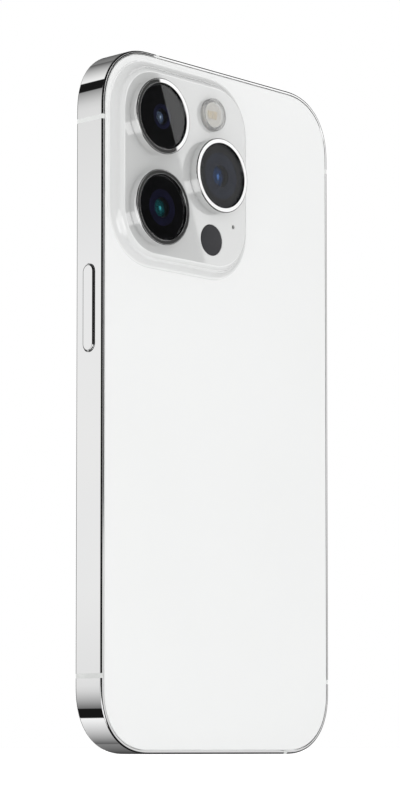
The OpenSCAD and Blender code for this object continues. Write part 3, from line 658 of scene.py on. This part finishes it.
def printed_board():
    """A circuit board with copper tracks under dark solder mask."""
    finish = Finish("dark_solder_mask", Coat_Weight=0.6)
    tracks = finish.add(
        "ShaderNodeTexBrick",
        {"Vector": finish.place, "Scale": 260.0, "Mortar Size": 0.012, "Color1": (0.012, 0.05, 0.035, 1),
         "Color2": (0.01, 0.04, 0.03, 1), "Mortar": (0.03, 0.1, 0.06, 1)},
    )
    finish.feed(finish.shader.inputs["Base Color"], tracks.outputs["Color"])
    finish.smudge(0.3, 0.1, scale=200.0)
    finish.bump(tracks.outputs["Fac"], 1e-5)
    return finish.material


def wound_copper():
    """Enamelled wire wound side by side."""
    finish = Finish("enamelled_copper", Metallic=1.0)
    finish.shade((0.75, 0.38, 0.18), (0.65, 0.3, 0.14), scale=300.0)
    finish.smudge(0.25, 0.1, scale=200.0)
    turns = finish.add(
        "ShaderNodeTexWave", {"Vector": finish.place, "Scale": 700.0}, wave_type="RINGS", rings_direction="Y"
    )
    finish.bump(turns.outputs["Fac"], 4e-5)
    return finish.material


def gold_plate():
    """Gold-plated contacts and cans."""
    finish = Finish("gold_plate", Metallic=1.0)
    finish.shade((0.83, 0.62, 0.27), (0.78, 0.56, 0.24), scale=300.0)
    finish.smudge(0.2, 0.1, scale=300.0)
    lines = finish.group(HAIRLINES, Scale=6000.0, Stretch=0.1)
    finish.bump(lines.outputs["Height"], 5e-7)
    return finish.material


def woven_mesh():
    """Fine dark woven wire."""
    finish = Finish("woven_dark_mesh", Metallic=0.8)
    weave = finish.add("ShaderNodeTexChecker", {"Vector": finish.place, "Scale": 9000.0,
                       "Color1": (0.09, 0.09, 0.095, 1), "Color2": (0.01, 0.01, 0.01, 1)})
    finish.feed(finish.shader.inputs["Base Color"], weave.outputs["Color"])
    finish.smudge(0.4, 0.1)
    finish.bump(weave.outputs["Fac"], 2e-5)
    return finish.material


STEEL = mirror_steel()
FROSTED = frosted_glass()
# The deck and the skirt are the same white glass in two tones: the deck's darker tone is painted shade, the
# skirt's lighter tone painted light.
SHADED_DECK_GLASS = glossy_glass("deck_glass_painted_shade", 0.63)
LIT_SKIRT_GLASS = glossy_glass("skirt_glass_painted_light", 0.8)
BREAK_PLASTIC = moulded_plastic("pale_break_plastic", (0.62, 0.63, 0.62), 0.4, wear=0.0)
COATED_GLASS = {
    "upper": clear_glass("upper_camera_glass", ior=1.42),
    "lower": clear_glass("lower_camera_glass", ior=1.35),
    "inner": clear_glass("inner_camera_glass", ior=1.22),
}
COVER_GLASS = clear_glass("display_cover_clear", ior=1.5)
FLASH_GLASS = milky_glass()
FRONT_LENS = {
    "upper": coated_lens("upper_lens_coating", (0.55, 0.7, 0.95)),
    "lower": coated_lens("lower_lens_coating", (0.05, 0.45, 0.5)),
    "inner": coated_lens("inner_lens_coating", (0.07, 0.22, 0.62)),
}
BLACK_COAT = moulded_plastic("black_coated_metal", (0.018, 0.018, 0.02), 0.42)
BLACK_PLASTIC = moulded_plastic("black_moulded_plastic", (0.02, 0.02, 0.022), 0.5)
BARREL_BLACK = moulded_plastic("matt_barrel_black", (0.008, 0.008, 0.009), 0.6, wear=0.05)
RANGE_GLASS = range_glass()
PHOSPHOR = phosphor()
CERAMIC = moulded_plastic("white_ceramic", (0.78, 0.76, 0.7), 0.35, wear=0.0)
STAMPED = satin_steel("stamped_steel", 0.6, 0.28)
SCREW_STEEL = satin_steel("plain_screw_steel", 0.52, 0.22)
ALUMINIUM = satin_steel("blasted_aluminium", 0.68, 0.42)
TRAY_STEEL = mirror_steel("tray_steel", 0.88)
TUNGSTEN = satin_steel("sintered_tungsten", 0.32, 0.5)
NICKEL = satin_steel("nickel_plate", 0.5, 0.25)
RUBBER = moulded_plastic("seal_foam", (0.03, 0.03, 0.03), 0.8, grain=1500.0, wear=0.0)
WRAP = moulded_plastic("battery_wrap", (0.016, 0.016, 0.018), 0.35, grain=500.0, wear=0.1)
DISPLAY = display_black()
BOARD = printed_board()
COPPER = wound_copper()
GOLD = gold_plate()
MESH = woven_mesh()
RESIN = moulded_plastic("dark_sensor_resin", (0.02, 0.05, 0.055), 0.12, wear=0.0)

SLOT_MATERIALS = {
    "polished_steel": STEEL,
    "tray_steel": TRAY_STEEL,
    "break_plastic": BREAK_PLASTIC,
    "range_window": RANGE_GLASS,
    "lens_barrel": BARREL_BLACK,
    "plate_aluminium": ALUMINIUM,
    "stamped_steel": STAMPED,
    "housing_metal": BLACK_COAT,
    "black_plastic": BLACK_PLASTIC,
    "seal": RUBBER,
    "panel": DISPLAY,
    "mesh": MESH,
    "sensor": RESIN,
    "brass_parts": GOLD,
    "screw_steel": SCREW_STEEL,
    "tungsten": TUNGSTEN,
    "battery_wrap": WRAP,
    "board": BOARD,
    "copper": COPPER,
    "magnets": NICKEL,
}


# ---------------------------------------------------------------- the band

def band_corner(side_x, side_z):
    """Stations around one corner of the band, from its long side to its end."""
    middle = BODY_H / 2
    stations = []
    for step in range(CORNER_STEPS + 1):
        angle = QUARTER_TURN * step / CORNER_STEPS
        a, b = corner_point(angle, CORNER_R, CORNER_POWER)
        stations.append((
            side_x * (HALF_W - CORNER_R + a),
            middle + side_z * (middle - CORNER_R + b),
            side_x * math.cos(angle),
            side_z * math.sin(angle),
        ))
    return stations


def band_section(sink=0.0):
    """The band's cross-section, as (depth from the outer face, place between the faces)."""
    back_ledge = GLASS_LOW.y - SEAL_T
    front_ledge = COVER_HIGH.y + SEAL_T + FRAME_T
    back_edge = [(EDGE_R - a, BAND_BACK - EDGE_R + b) for a, b in arc((0, 0), EDGE_R, 0, 90)]
    front_edge = [(EDGE_R - a, BAND_FRONT + EDGE_R - b) for a, b in arc((0, 0), EDGE_R, 90, 0)]
    inner = [
        (RIM_W - NICK, BAND_BACK),
        (RIM_W, BAND_BACK - NICK),
        (RIM_W, back_ledge),
        (BAND_WALL, back_ledge),
        (BAND_WALL, front_ledge),
        (RIM_W, front_ledge),
        (RIM_W, BAND_FRONT + NICK),
        (RIM_W - NICK, BAND_FRONT),
    ]
    points = back_edge + inner + front_edge
    if not sink:
        return points
    shrink = 1 - 2 * sink / (BAND_BACK - BAND_FRONT)
    return [(depth + sink, BAND_MIDDLE + (level - BAND_MIDDLE) * shrink) for depth, level in points]


def sweep(bm, section, stations):
    """A solid with that section along the stations."""
    section = supported(section, closed=True)
    loops = [
        [bm.verts.new((x - depth * nx, level, z - depth * nz)) for depth, level in section]
        for x, z, nx, nz in stations
    ]
    skin(bm, loops)
    bm.faces.new(loops[0])
    bm.faces.new(loops[-1])


def slot_cutter(bm, outline, place, surface, depth, flare=0.1):
    """A cutter for a slot or hole, with a small chamfer at its mouth."""
    profile = [(0, surface - depth), (0, surface - flare), (-flare, surface), (-flare, surface + 1)]
    shell(bm, outline, profile, place)


BUTTON_SIDE_RUN = [(HALF_W, SIDE_LOW.z, 1, 0), (HALF_W, SIDE_HIGH.z, 1, 0)]
VOLUME_SIDE_RUN = [(-HALF_W, SIDE_HIGH.z, -1, 0), (-HALF_W, SIDE_LOW.z, -1, 0)]
CAMERA_CORNER_RUN = (
    [(HALF_W, TOP_CORNER_LOW.z, 1, 0)] + band_corner(1, 1) + [(TOP_CORNER_LOW.x, BODY_H, 0, 1)]
)
FAR_TOP_RUN = (
    [(FAR_CORNER_HIGH.x, BODY_H, 0, 1)] + band_corner(-1, 1)[::-1] + [(-HALF_W, FAR_CORNER_LOW.z, -1, 0)]
)
FAR_PORT_RUN = (
    [(-HALF_W, PORT_CORNER_HIGH.z, -1, 0)] + band_corner(-1, -1) + [(PORT_CORNER_HIGH.x, 0, 0, -1)]
)
PORT_END_RUN = (
    [(PORT_END_LOW.x, 0, 0, -1)] + band_corner(1, -1)[::-1] + [(HALF_W, PORT_END_HIGH.z, 1, 0)]
)
BAND_RUNS = {
    "button_side": BUTTON_SIDE_RUN,
    "volume_side": VOLUME_SIDE_RUN,
    "camera_corner": CAMERA_CORNER_RUN,
    "far_top_corner": FAR_TOP_RUN,
    "far_port_corner": FAR_PORT_RUN,
    "port_end": PORT_END_RUN,
}
BREAK_RUNS = [
    (BUTTON_SIDE_RUN[-1], CAMERA_CORNER_RUN[0]),
    (CAMERA_CORNER_RUN[-1], FAR_TOP_RUN[0]),
    (FAR_TOP_RUN[-1], VOLUME_SIDE_RUN[0]),
    (VOLUME_SIDE_RUN[-1], FAR_PORT_RUN[0]),
    (FAR_PORT_RUN[-1], PORT_END_RUN[0]),
    (PORT_END_RUN[-1], BUTTON_SIDE_RUN[0]),
]


def control_outline(node, width, gap=0.0):
    """The pill outline of a button or switch on a long side."""
    low, high = box_mm(node)
    half_l = (high.z - low.z) / 2 - FLANGE + gap
    return pill_outline(((low.y + high.y) / 2, (low.z + high.z) / 2), (width / 2 + gap, half_l))


def button_side_cutters():
    """The side button's opening."""
    cutters = bmesh.new()
    slot_cutter(cutters, control_outline("side_button", BUTTON_W, BUTTON_GAP), on_right, HALF_W, 3)
    return cutters


def volume_side_cutters():
    """The openings for the volume buttons, the mute switch and the card tray."""
    cutters = bmesh.new()
    for node in ("volume_up_button", "volume_down_button"):
        slot_cutter(cutters, control_outline(node, BUTTON_W, BUTTON_GAP), on_left, HALF_W, 3)
    low, high = box_mm("mute_switch")
    half_l = (high.z - low.z) / 2 - FLANGE
    slot_middle = (low.y - BUTTON_GAP + MUTE_SLOT_W / 2, (low.z + high.z) / 2)
    mute_slot = rounded_outline(slot_middle, (MUTE_SLOT_W / 2, half_l + BUTTON_GAP), 1.1)
    slot_cutter(cutters, mute_slot, on_left, HALF_W, 3)
    low, high = box_mm("card_tray")
    tray_middle = ((low.y + high.y) / 2, (low.z + high.z) / 2)
    tray_half = ((high.y - low.y) / 2 + 0.06, (high.z - low.z) / 2 + 0.06)
    slot_cutter(cutters, pill_outline(tray_middle, tray_half), on_left, HALF_W, 3, flare=0.04)
    return cutters


HOLE_PITCH = 2.3
FIRST_HOLE = 11.2
HOLE_R = 0.75
SCREW_X = 8.2
SCREW_R = 0.85
PORT_HALF = (3.75, 1.15)


def port_end_cutters():
    """The port's mouth, the speaker and microphone holes and the screws' seats."""
    cutters = bmesh.new()
    centre = middle_mm("charge_port")
    slot_cutter(cutters, pill_outline((centre.x, centre.y), PORT_HALF), on_port_end, 0, 3, flare=0.15)
    for i in range(5):
        place = (FIRST_HOLE + HOLE_PITCH * i, centre.y)
        slot_cutter(cutters, round_outline(place, HOLE_R, 32), on_port_end, 0, 3)
    for i in range(3):
        place = (-FIRST_HOLE - HOLE_PITCH * i, centre.y)
        slot_cutter(cutters, round_outline(place, HOLE_R, 32), on_port_end, 0, 3)
    for side in (-1, 1):
        seat = round_outline((side * SCREW_X, centre.y), SCREW_R, 32)
        slot_cutter(cutters, seat, on_port_end, 0, 3, flare=0.05)
    return cutters


CUTTERS = {
    "button_side": button_side_cutters,
    "volume_side": volume_side_cutters,
    "port_end": port_end_cutters,
}


def make_band():
    """The six lengths of the steel band and the plastic breaks between them."""
    for name, run in BAND_RUNS.items():
        bm = bmesh.new()
        sweep(bm, band_section(), run)
        if name in CUTTERS:
            bm = carve(bm, CUTTERS[name]())
        piece(f"steel_{name}", bm, [STEEL], "phone_body", [f"band_{name}"])
    bm = bmesh.new()
    for run in BREAK_RUNS:
        sweep(bm, band_section(BREAK_SINK), run)
    piece("plastic_breaks", bm, [BREAK_PLASTIC], "phone_body", ["antenna_breaks"])


# ---------------------------------------------------------------- buttons and switch

def make_button(name, node, place, body, edge=0.32):
    """A button with round ends and softened edges."""
    low, high = box_mm(node)
    top = max(abs(low.x), abs(high.x))
    base = min(abs(low.x), abs(high.x))
    bm = bmesh.new()
    shell(bm, control_outline(node, BUTTON_W), [(0, base)] + crown(edge, top, 6), place)
    piece(name, bm, [STEEL], body, [node])


def make_mute_switch():
    """The switch's lever, with a groove along it."""
    low, high = box_mm("mute_switch")
    top = -low.x
    base = -high.x
    edge = 0.2
    half = ((high.y - low.y) / 2, (high.z - low.z) / 2 - FLANGE)
    outline = rounded_outline(((low.y + high.y) / 2, (low.z + high.z) / 2), half, 0.7)
    bm = bmesh.new()
    shell(bm, outline, [(0, base)] + crown(edge, top, 5), on_left)
    groove = bmesh.new()
    middle = ((low.y + high.y) / 2, (low.z + high.z) / 2)
    slot_cutter(groove, pill_outline(middle, (0.28, half[1] * 0.6)), on_left, top, 0.35, flare=0.08)
    piece("mute_lever", carve(bm, groove), [STEEL], "mute_switch", ["mute_switch"])


def make_controls():
    """Every button, and the mute switch."""
    make_button("side_key", "side_button", on_right, "side_button")
    make_button("volume_up_key", "volume_up_button", on_left, "volume_up_button")
    make_button("volume_down_key", "volume_down_button", on_left, "volume_down_button")
    make_mute_switch()


# ---------------------------------------------------------------- glass

def face_outline(steps=CORNER_STEPS):
    """The outline of the glass on either face."""
    half = (HALF_W - GLASS_INSET, BODY_H / 2 - GLASS_INSET)
    return rounded_outline((0, BODY_H / 2), half, CORNER_R - GLASS_INSET, CORNER_POWER, steps)


def skirt_profile():
    """The skirt's S-curve, as (way out from the flat deck, height), from the deck down to the back."""
    rise = DECK - BACK_FACE
    steepest = 2 * math.atan(rise / SKIRT_W)
    foot_r = SKIRT_W / math.sin(steepest) - SKIRT_TOP_R
    top = [
        (SKIRT_TOP_R * math.sin(t), DECK - SKIRT_TOP_R * (1 - math.cos(t)))
        for t in (steepest * step / 10 for step in range(11))
    ]
    foot = [
        (SKIRT_W - foot_r * math.sin(t), BACK_FACE + foot_r * (1 - math.cos(t)))
        for t in (steepest * (1 - step / 14) for step in range(1, 15))
    ]
    return [(-SUPPORT, DECK)] + top + foot + [(SKIRT_W + SUPPORT, BACK_FACE)]


def plate_edge(outer_level, inner_level):
    """The edge of a flat glass from its outer face to its inner one, as (inset, level)."""
    way = 1 if outer_level > inner_level else -1
    r = GLASS_EDGE_R
    soft = [(r - r * math.sin(t), outer_level - way * (r - r * math.cos(t)))
            for t in (QUARTER_TURN * (1 - step / 6) for step in range(7))]
    top_support = [(r + SUPPORT, outer_level)]
    wall = [(0, inner_level + way * NICK), (NICK, inner_level), (NICK + SUPPORT, inner_level)]
    return top_support + soft[::-1] + wall


def make_back_glass():
    """The back glass in one piece with its plateau, and with the holes through it."""
    bm = bmesh.new()
    edge_loops = [add_loop(bm, face_outline(), inset, level, on_back)
                  for inset, level in plate_edge(BACK_FACE, GLASS_LOW.y)]
    skin(bm, edge_loops)
    deck_outline = rounded_outline(DECK_MIDDLE, DECK_HALF, 9.3, 2.15, 28)
    skirt_loops = [add_loop(bm, deck_outline, -out, level, on_back) for out, level in skirt_profile()]
    polished = bridge(bm, skirt_loops[0], skirt_loops[1])
    curved = skin(bm, skirt_loops[1:])
    holes = [((spot.x, spot.z), RING_R - 0.75, 72, 0.05) for spot in (UPPER, LOWER, INNER)]
    holes.append(((FLASH.x, FLASH.z), FLASH_R - 0.35, 64, 0.05))
    holes.append(((RANGE.x, RANGE.z), RANGE_R + HOLE_GAP, 64, 0.07))
    holes.append(((MICROPHONE.x, MICROPHONE.z), MICROPHONE_R, 32, 0.1))
    mouths = []
    feet = []
    for centre, radius, steps, soft in holes:
        wall = [add_loop(bm, round_outline(centre, radius, steps), -out, level, on_back) for out, level in (
            (soft + SUPPORT, DECK), (soft, DECK), (soft * 0.3, DECK - soft * 0.3), (0, DECK - soft),
            (0, DECK - soft - SUPPORT), (0, GLASS_LOW.y), (SUPPORT, GLASS_LOW.y))]
        polished += skin(bm, wall)
        mouths.append(wall[0])
        feet.append(wall[-1])
    polished += fill(bm, [skirt_loops[0]] + mouths)
    # The deck and the hole walls take the darker copy of the glass (painted shade), the skirt the lighter
    # copy (painted light).
    for index, faces in ((1, polished), (2, curved)):
        for face in faces:
            face.material_index = index
    fill(bm, [edge_loops[0], skirt_loops[-1]])
    fill(bm, [edge_loops[-1]] + feet)
    materials = [FROSTED, SHADED_DECK_GLASS, LIT_SKIRT_GLASS]
    piece("white_back_glass", bm, materials, "phone_body", ["back_glass"])


def make_cover_glass():
    """The clear glass over the display, with the earpiece's slot."""
    low, high = box_mm("earpiece_mesh")
    bm = bmesh.new()
    loops = [add_loop(bm, face_outline(), inset, level, on_back)
             for inset, level in plate_edge(COVER_LOW.y, COVER_HIGH.y - COVER_GAP)]
    skin(bm, loops)
    half = ((high.x - low.x) / 2 + 0.05, (high.z - low.z) / 2 + 0.05)
    slot = pill_outline(((low.x + high.x) / 2, (low.z + high.z) / 2), half)
    soft = 0.08
    wall = [add_loop(bm, slot, -out, level, on_back) for out, level in (
        (soft + SUPPORT, COVER_LOW.y), (soft, COVER_LOW.y), (0, COVER_LOW.y + soft),
        (0, COVER_HIGH.y - COVER_GAP), (SUPPORT, COVER_HIGH.y - COVER_GAP))]
    for loop in wall:
        bmesh.ops.remove_doubles(bm, verts=loop, dist=WELD)
    wall = [[vert for vert in loop if vert.is_valid] for loop in wall]
    skin(bm, wall)
    fill(bm, [loops[0], wall[0]])
    fill(bm, [loops[-1], wall[-1]])
    piece("display_cover", bm, [COVER_GLASS], "phone_body", ["cover_glass"])


# ---------------------------------------------------------------- cameras

WINDOW_R = {"upper": 2.65, "lower": 3.85, "inner": 5.0}
APERTURE_R = {"upper": 1.7, "lower": 2.15, "inner": 2.35}
ELEMENT_DEPTH = {"upper": 0.55, "lower": 0.65, "inner": 1.27}
MASK_TONE = {"upper": (0.006, 0.006, 0.007), "lower": (0.004, 0.004, 0.005), "inner": (0.02, 0.02, 0.022)}
# Navy tones of the discs under the masks: painted shade and painted reflection standing for the coated glass
# deep in each lens.
PAINTED_WINDOW_TONE = {"upper": (0.016, 0.017, 0.045), "lower": (0.012, 0.012, 0.034), "inner": (0.026, 0.03, 0.046)}
GLASS_TOP = box_mm("camera_glass_upper")[1].y
GLASS_BOTTOM = box_mm("camera_glass_upper")[0].y
BARREL_LOW, BARREL_HIGH = box_mm("lens_barrel_upper")
BORE_R = RING_R - RING_FACE_W
MASK_GAP = 0.012
MASK_T = 0.03


def dome_points(start_r, end_r, crown, top, steps=10):
    """Points down a dome of that crown height, from its rim at start_r in to end_r."""
    sphere_r = (start_r * start_r + crown * crown) / (2 * crown)
    points = []
    for step in range(steps + 1):
        r = start_r + (end_r - start_r) * step / steps
        points.append((r, top - sphere_r + math.sqrt(sphere_r * sphere_r - r * r)))
    return points


def make_camera(name, centre):
    """One camera: its ring, cover glass, printed mask, a navy disc of painted shade and painted reflection
    under the mask, lens barrel and front lens.
    """
    spot = (centre.x, centre.z)
    soft = 0.22
    inner_soft = 0.07
    outer_edge = [(RING_R - soft + a, RING_TOP - soft + b) for a, b in arc((0, 0), soft, 0, 90)]
    inner_edge = [(BORE_R + inner_soft - a, RING_TOP - inner_soft + b)
                  for a, b in arc((0, 0), inner_soft, 90, 0, steps=4)]
    bm = bmesh.new()
    foot_r = RING_R - 0.12
    ring = [(BORE_R, GLASS_BOTTOM), (BORE_R, DECK - 0.1), (foot_r, DECK - 0.1), (foot_r, DECK + 0.05),
            (RING_R, DECK + 0.12)]
    lathe(bm, spot, ring + outer_edge + inner_edge, capped=False, steps=144)
    piece(f"steel_ring_{name}", bm, [STEEL], "phone_body", [f"camera_ring_{name}"])

    bm = bmesh.new()
    glass_r = BORE_R - 0.02
    profile = [(glass_r, GLASS_BOTTOM), (glass_r, GLASS_TOP - 0.1), (glass_r - 0.3, GLASS_TOP)]
    lathe(bm, spot, profile, steps=128)
    covered = [f"camera_glass_{name}"]
    piece(f"lens_cover_{name}", bm, [COATED_GLASS[name]], "phone_body", covered)

    bm = bmesh.new()
    top = GLASS_BOTTOM - MASK_GAP
    under = top - MASK_T
    window = WINDOW_R[name]
    aperture = APERTURE_R[name]
    lathe(bm, spot, [(window, top), (glass_r, top), (glass_r, under), (window, under)], capped=False)
    count = len(bm.faces)
    low = under - 0.005
    lapped_r = window + 0.4
    # A navy disc under the mask, seen through its aperture: its colour is painted shade and painted
    # reflection of the coated glass deeper in the lens.
    disc = [(aperture, low), (lapped_r, low), (lapped_r, low - MASK_T), (aperture, low - MASK_T)]
    lathe(bm, spot, disc, capped=False)
    bm.faces.ensure_lookup_table()
    for face in bm.faces[count:]:
        face.material_index = 1
    mask = dark_print_and_painted_window(f"mask_ink_{name}", MASK_TONE[name])
    painted_window = dark_print_and_painted_window(f"window_painted_shade_and_reflection_{name}", PAINTED_WINDOW_TONE[name], roughness=0.3)
    piece(f"lens_mask_{name}", bm, [mask, painted_window], "phone_body", [])

    bm = bmesh.new()
    barrel_top = BARREL_HIGH.y
    outer = (BARREL_HIGH.x - BARREL_LOW.x) / 2
    seat = RING_TOP - ELEMENT_DEPTH[name] - 0.6
    steps_in = [(aperture + 0.5 - 0.12 * i, barrel_top - (barrel_top - seat) * i / 4) for i in range(5)]
    threads = []
    for (r, level), (r2, level2) in zip(steps_in, steps_in[1:]):
        threads += [(r, level), (r2, (level + level2) / 2), (r2, level2)]
    profile = [(outer, BARREL_LOW.y), (outer, barrel_top - 0.2), (outer - 0.2, barrel_top)]
    profile += threads + [(aperture - 0.3, seat - 0.8), (aperture - 0.3, BARREL_LOW.y)]
    lathe(bm, spot, profile, capped=False)
    piece(f"barrel_{name}", bm, [BARREL_BLACK], f"lens_{name}", [f"lens_barrel_{name}"])

    bm = bmesh.new()
    crown_top = min(RING_TOP - ELEMENT_DEPTH[name], barrel_top)
    edge = aperture - 0.02
    inner_r = edge * 0.56
    outer_dome = [(r, level - 0.12) for r, level in dome_points(edge, inner_r, 0.7, crown_top)]
    profile = outer_dome + dome_points(inner_r, 0, 0.4, crown_top)
    lathe(bm, spot, [(0, crown_top - 1.2), (edge, crown_top - 1.2)] + profile, capped=False)
    element = [f"lens_element_{name}"]
    piece(f"front_lens_{name}", bm, [FRONT_LENS[name]], f"lens_{name}", element, sharp=50)


def make_flash():
    """The flash: a clear raised cap over two dies on a ceramic base."""
    spot = (FLASH.x, FLASH.z)
    cap_t = 0.45
    cup_r = FLASH_R - 0.75
    soft = 0.25
    low = box_mm("flash_lens")[0].y
    edge = [(FLASH_R - soft + a, FLASH_TOP - soft + b) for a, b in arc((0, 0), soft, 0, 90)]
    bm = bmesh.new()
    profile = [(cup_r, low), (FLASH_R - 0.4, low), (FLASH_R - 0.4, DECK + 0.01), (FLASH_R, DECK + 0.01)]
    profile += edge + [(0, FLASH_TOP)]
    under = [(cup_r * i / 5, FLASH_TOP - cap_t - (0.06 if i % 2 else 0)) for i in range(6)]
    lathe(bm, spot, profile + under, capped=False)
    piece("flash_cap", bm, [FLASH_GLASS], "phone_body", ["flash_lens"])

    led_low, led_high = box_mm("flash_led")
    face = led_high.y - 0.15
    bm = bmesh.new()
    lathe(bm, spot, [(0, led_low.y), (cup_r - 0.1, led_low.y), (cup_r - 0.1, face), (cup_r - 0.35, face),
                     (cup_r - 0.9, face - 0.35), (0, face - 0.35)], capped=False)
    count = len(bm.faces)
    for side in (-1, 1):
        die = rounded_outline((spot[0] + 0.72 * side, spot[1]), (0.58, 0.85), 0.12, steps=3)
        shell(bm, die, [(0, face - 0.4), (0, face - 0.1), (0.05, face - 0.05)], on_back)
    bm.faces.ensure_lookup_table()
    for item in bm.faces[count:]:
        item.material_index = 1
    piece("flash_module", bm, [CERAMIC, PHOSPHOR], "phone_body", ["flash_led"])


def make_range_window():
    """The dark window of the ranging sensor, flush with the plateau."""
    low, high = box_mm("range_window")
    bm = bmesh.new()
    soft = 0.08
    profile = [(RANGE_R, low.y), (RANGE_R, high.y - soft), (RANGE_R - soft, high.y - 0.005)]
    lathe(bm, (RANGE.x, RANGE.z), profile)
    piece("range_sensor_window", bm, [RANGE_GLASS], "phone_body", ["range_window"])


# ---------------------------------------------------------------- camera, floor and light

FOCAL_LENGTH = 116.11
LENS_SHIFT = 0.25
VIEWPOINT = (0.40538, 0.37607, 0.001)
LOOK_UP = 3.31
LOOK_ACROSS = 46.831
FLOOR_HALF = 6
FLOOR_DROP = 0.00005
BELT = 0.012


def make_camera_view():
    """The camera stands level with the phone's foot, on the camera side, and looks slightly up."""
    lens = bpy.data.cameras.new("studio_camera")
    lens.lens = FOCAL_LENGTH
    lens.sensor_width = 36
    lens.shift_y = LENS_SHIFT
    lens.clip_start = 0.01
    made = bpy.data.objects.new("studio_camera", lens)
    made.location = VIEWPOINT
    made.rotation_euler = Euler((math.radians(90 + LOOK_UP), 0, math.radians(180 - LOOK_ACROSS)))
    bpy.context.scene.collection.objects.link(made)
    bpy.context.scene.camera = made


def make_floor():
    """A plain white floor that mirrors don't see."""
    bm = bmesh.new()
    bmesh.ops.create_grid(bm, x_segments=1, y_segments=1, size=FLOOR_HALF)
    mesh = bpy.data.meshes.new("floor")
    bm.to_mesh(mesh)
    bm.free()
    floor = bpy.data.objects.new("floor", mesh)
    floor.location = (0, 0, -FLOOR_DROP)
    bpy.context.scene.collection.objects.link(floor)
    finish = Finish("white_floor", Roughness=0.9, Emission_Strength=0.45, Emission_Color=(1, 1, 1, 1))
    finish.shade((0.9, 0.9, 0.9), (0.89, 0.89, 0.89), scale=2.0)
    mesh.materials.append(finish.material)
    floor.visible_glossy = False
    floor.visible_transmission = False


def cone(graph, direction, towards, inner, outer):
    """1 within inner degrees of a direction, 0 beyond outer degrees."""
    along = graph.dot(direction, Vector(towards).normalized())
    return graph.ramp(along, math.cos(math.radians(outer)), math.cos(math.radians(inner)))


def between(graph, angle, low, high, soft):
    """1 where an angle in radians lies between two limits in degrees."""
    low_side = graph.ramp(angle, math.radians(low - soft), math.radians(low + soft))
    high_side = graph.ramp(angle, math.radians(high + soft), math.radians(high - soft))
    return graph.math("MULTIPLY", low_side, high_side)


def fade(graph, angle, start, end, first, last):
    """A strength that goes evenly from first to last between two angles in degrees."""
    return graph.ramp(angle, math.radians(start), math.radians(end), first, last, smooth=False)


def band_lights(graph, turn):
    """What the band mirrors round its outline: three cards with dark flags between them, in a dim room."""
    flags = 0.01
    away = graph.math("ABSOLUTE", turn)
    room = fade(graph, away, 120, 165, 0.22, 0.05)
    seen = graph.mix(between(graph, away, 110, 200, 4), flags, room)
    side_card = graph.math(
        "MINIMUM", fade(graph, turn, -25, 5, 0.2, 0.87), fade(graph, turn, 15, 45, 0.87, 0.25)
    )
    seen = graph.mix(between(graph, turn, -27, 43, 1), seen, side_card)
    overhead_card = fade(graph, turn, 60, 110, 0.95, 0.1)
    seen = graph.mix(between(graph, turn, 60, 110, 1), seen, overhead_card)
    low_card = fade(graph, turn, -45, -115, 1.0, 0.1)
    return graph.mix(between(graph, turn, -115, -45, 1), seen, low_card)


def make_world():
    """A soft white room. Polished surfaces see its cards and dark flags as well."""
    world = bpy.data.worlds.new("studio")
    bpy.context.scene.world = world
    world.use_nodes = True
    world.node_tree.nodes.clear()
    graph = Graph(world.node_tree)
    direction = graph.add("ShaderNodeTexCoord").outputs["Generated"]
    parts = graph.add("ShaderNodeSeparateXYZ", {0: direction})
    x, y, z = parts.outputs

    turn = graph.math("ARCTAN2", z, x)
    behind = band_lights(graph, turn)
    seen = graph.mix(graph.ramp(y, -0.5, -0.58), BELT, behind)
    seen = graph.mix(graph.ramp(y, -0.78, -0.82), seen, 0.03)

    height = graph.math("ARCSINE", z)
    azimuth = graph.math("ARCTAN2", graph.math("MULTIPLY", x, -1.0), y)
    card = graph.math("MULTIPLY", between(graph, azimuth, 26, 54, 3), between(graph, height, -14, 24, 3))
    card = graph.math("MULTIPLY", card, graph.ramp(y, 0.0, 0.1))
    strength = graph.ramp(z, -0.3, 0.6, 0.3, 1.6, smooth=False)
    slant = graph.math("ADD", azimuth, graph.math("MULTIPLY", height, 0.26))
    strip = between(graph, slant, 44.5, 49.75, 0.015)
    flag = graph.math("MULTIPLY", strip, between(graph, height, 5, 20, 1))
    strength = graph.mix(flag, strength, 0.05)
    seen = graph.mix(card, seen, strength)
    seen = graph.mix(cone(graph, direction, (0.66, 0.62, -0.4), 12, 18), seen, 1.3)
    seen = graph.mix(cone(graph, direction, (0.9, 0.02, -0.45), 26, 30), seen, 0.9)

    lean = graph.dot(direction, Vector((0.0, 0.5, 0.85)).normalized())
    soft_room = graph.ramp(lean, -1, 1, 0.52, 1.02, smooth=False)

    path = graph.add("ShaderNodeLightPath")
    never_scattered = graph.math("LESS_THAN", path.outputs["Diffuse Depth"], 0.5)
    mirrored = graph.math("MULTIPLY", path.outputs["Is Glossy Ray"], never_scattered)
    light = graph.mix(mirrored, soft_room, seen)
    light = graph.mix(path.outputs["Is Camera Ray"], light, 1.0)
    background = graph.add("ShaderNodeBackground", {"Color": (1, 1, 1, 1), "Strength": light})
    out = graph.add("ShaderNodeOutputWorld")
    graph.feed(out.inputs["Surface"], background.outputs[0])
    bpy.context.scene.view_settings.view_transform = "Standard"


# ---------------------------------------------------------------- putting it together

def dress_nodes():
    """Gives every node that still shows the material of its slot."""
    slots = {row["node"]: row["material_slot"] for row in frame["record"]["subparts"]}
    for name, node in frame["nodes"].items():
        if node.hide_render:
            continue
        material = SLOT_MATERIALS[slots[name]]
        if not node.material_slots:
            node.data.materials.append(material)
        for place in node.material_slots:
            place.material = material


make_camera_view()
make_floor()
make_world()
make_band()
make_controls()
make_back_glass()
make_cover_glass()
for camera_name, camera_middle in (("upper", UPPER), ("lower", LOWER), ("inner", INNER)):
    make_camera(camera_name, camera_middle)
make_flash()
make_range_window()
dress_nodes()
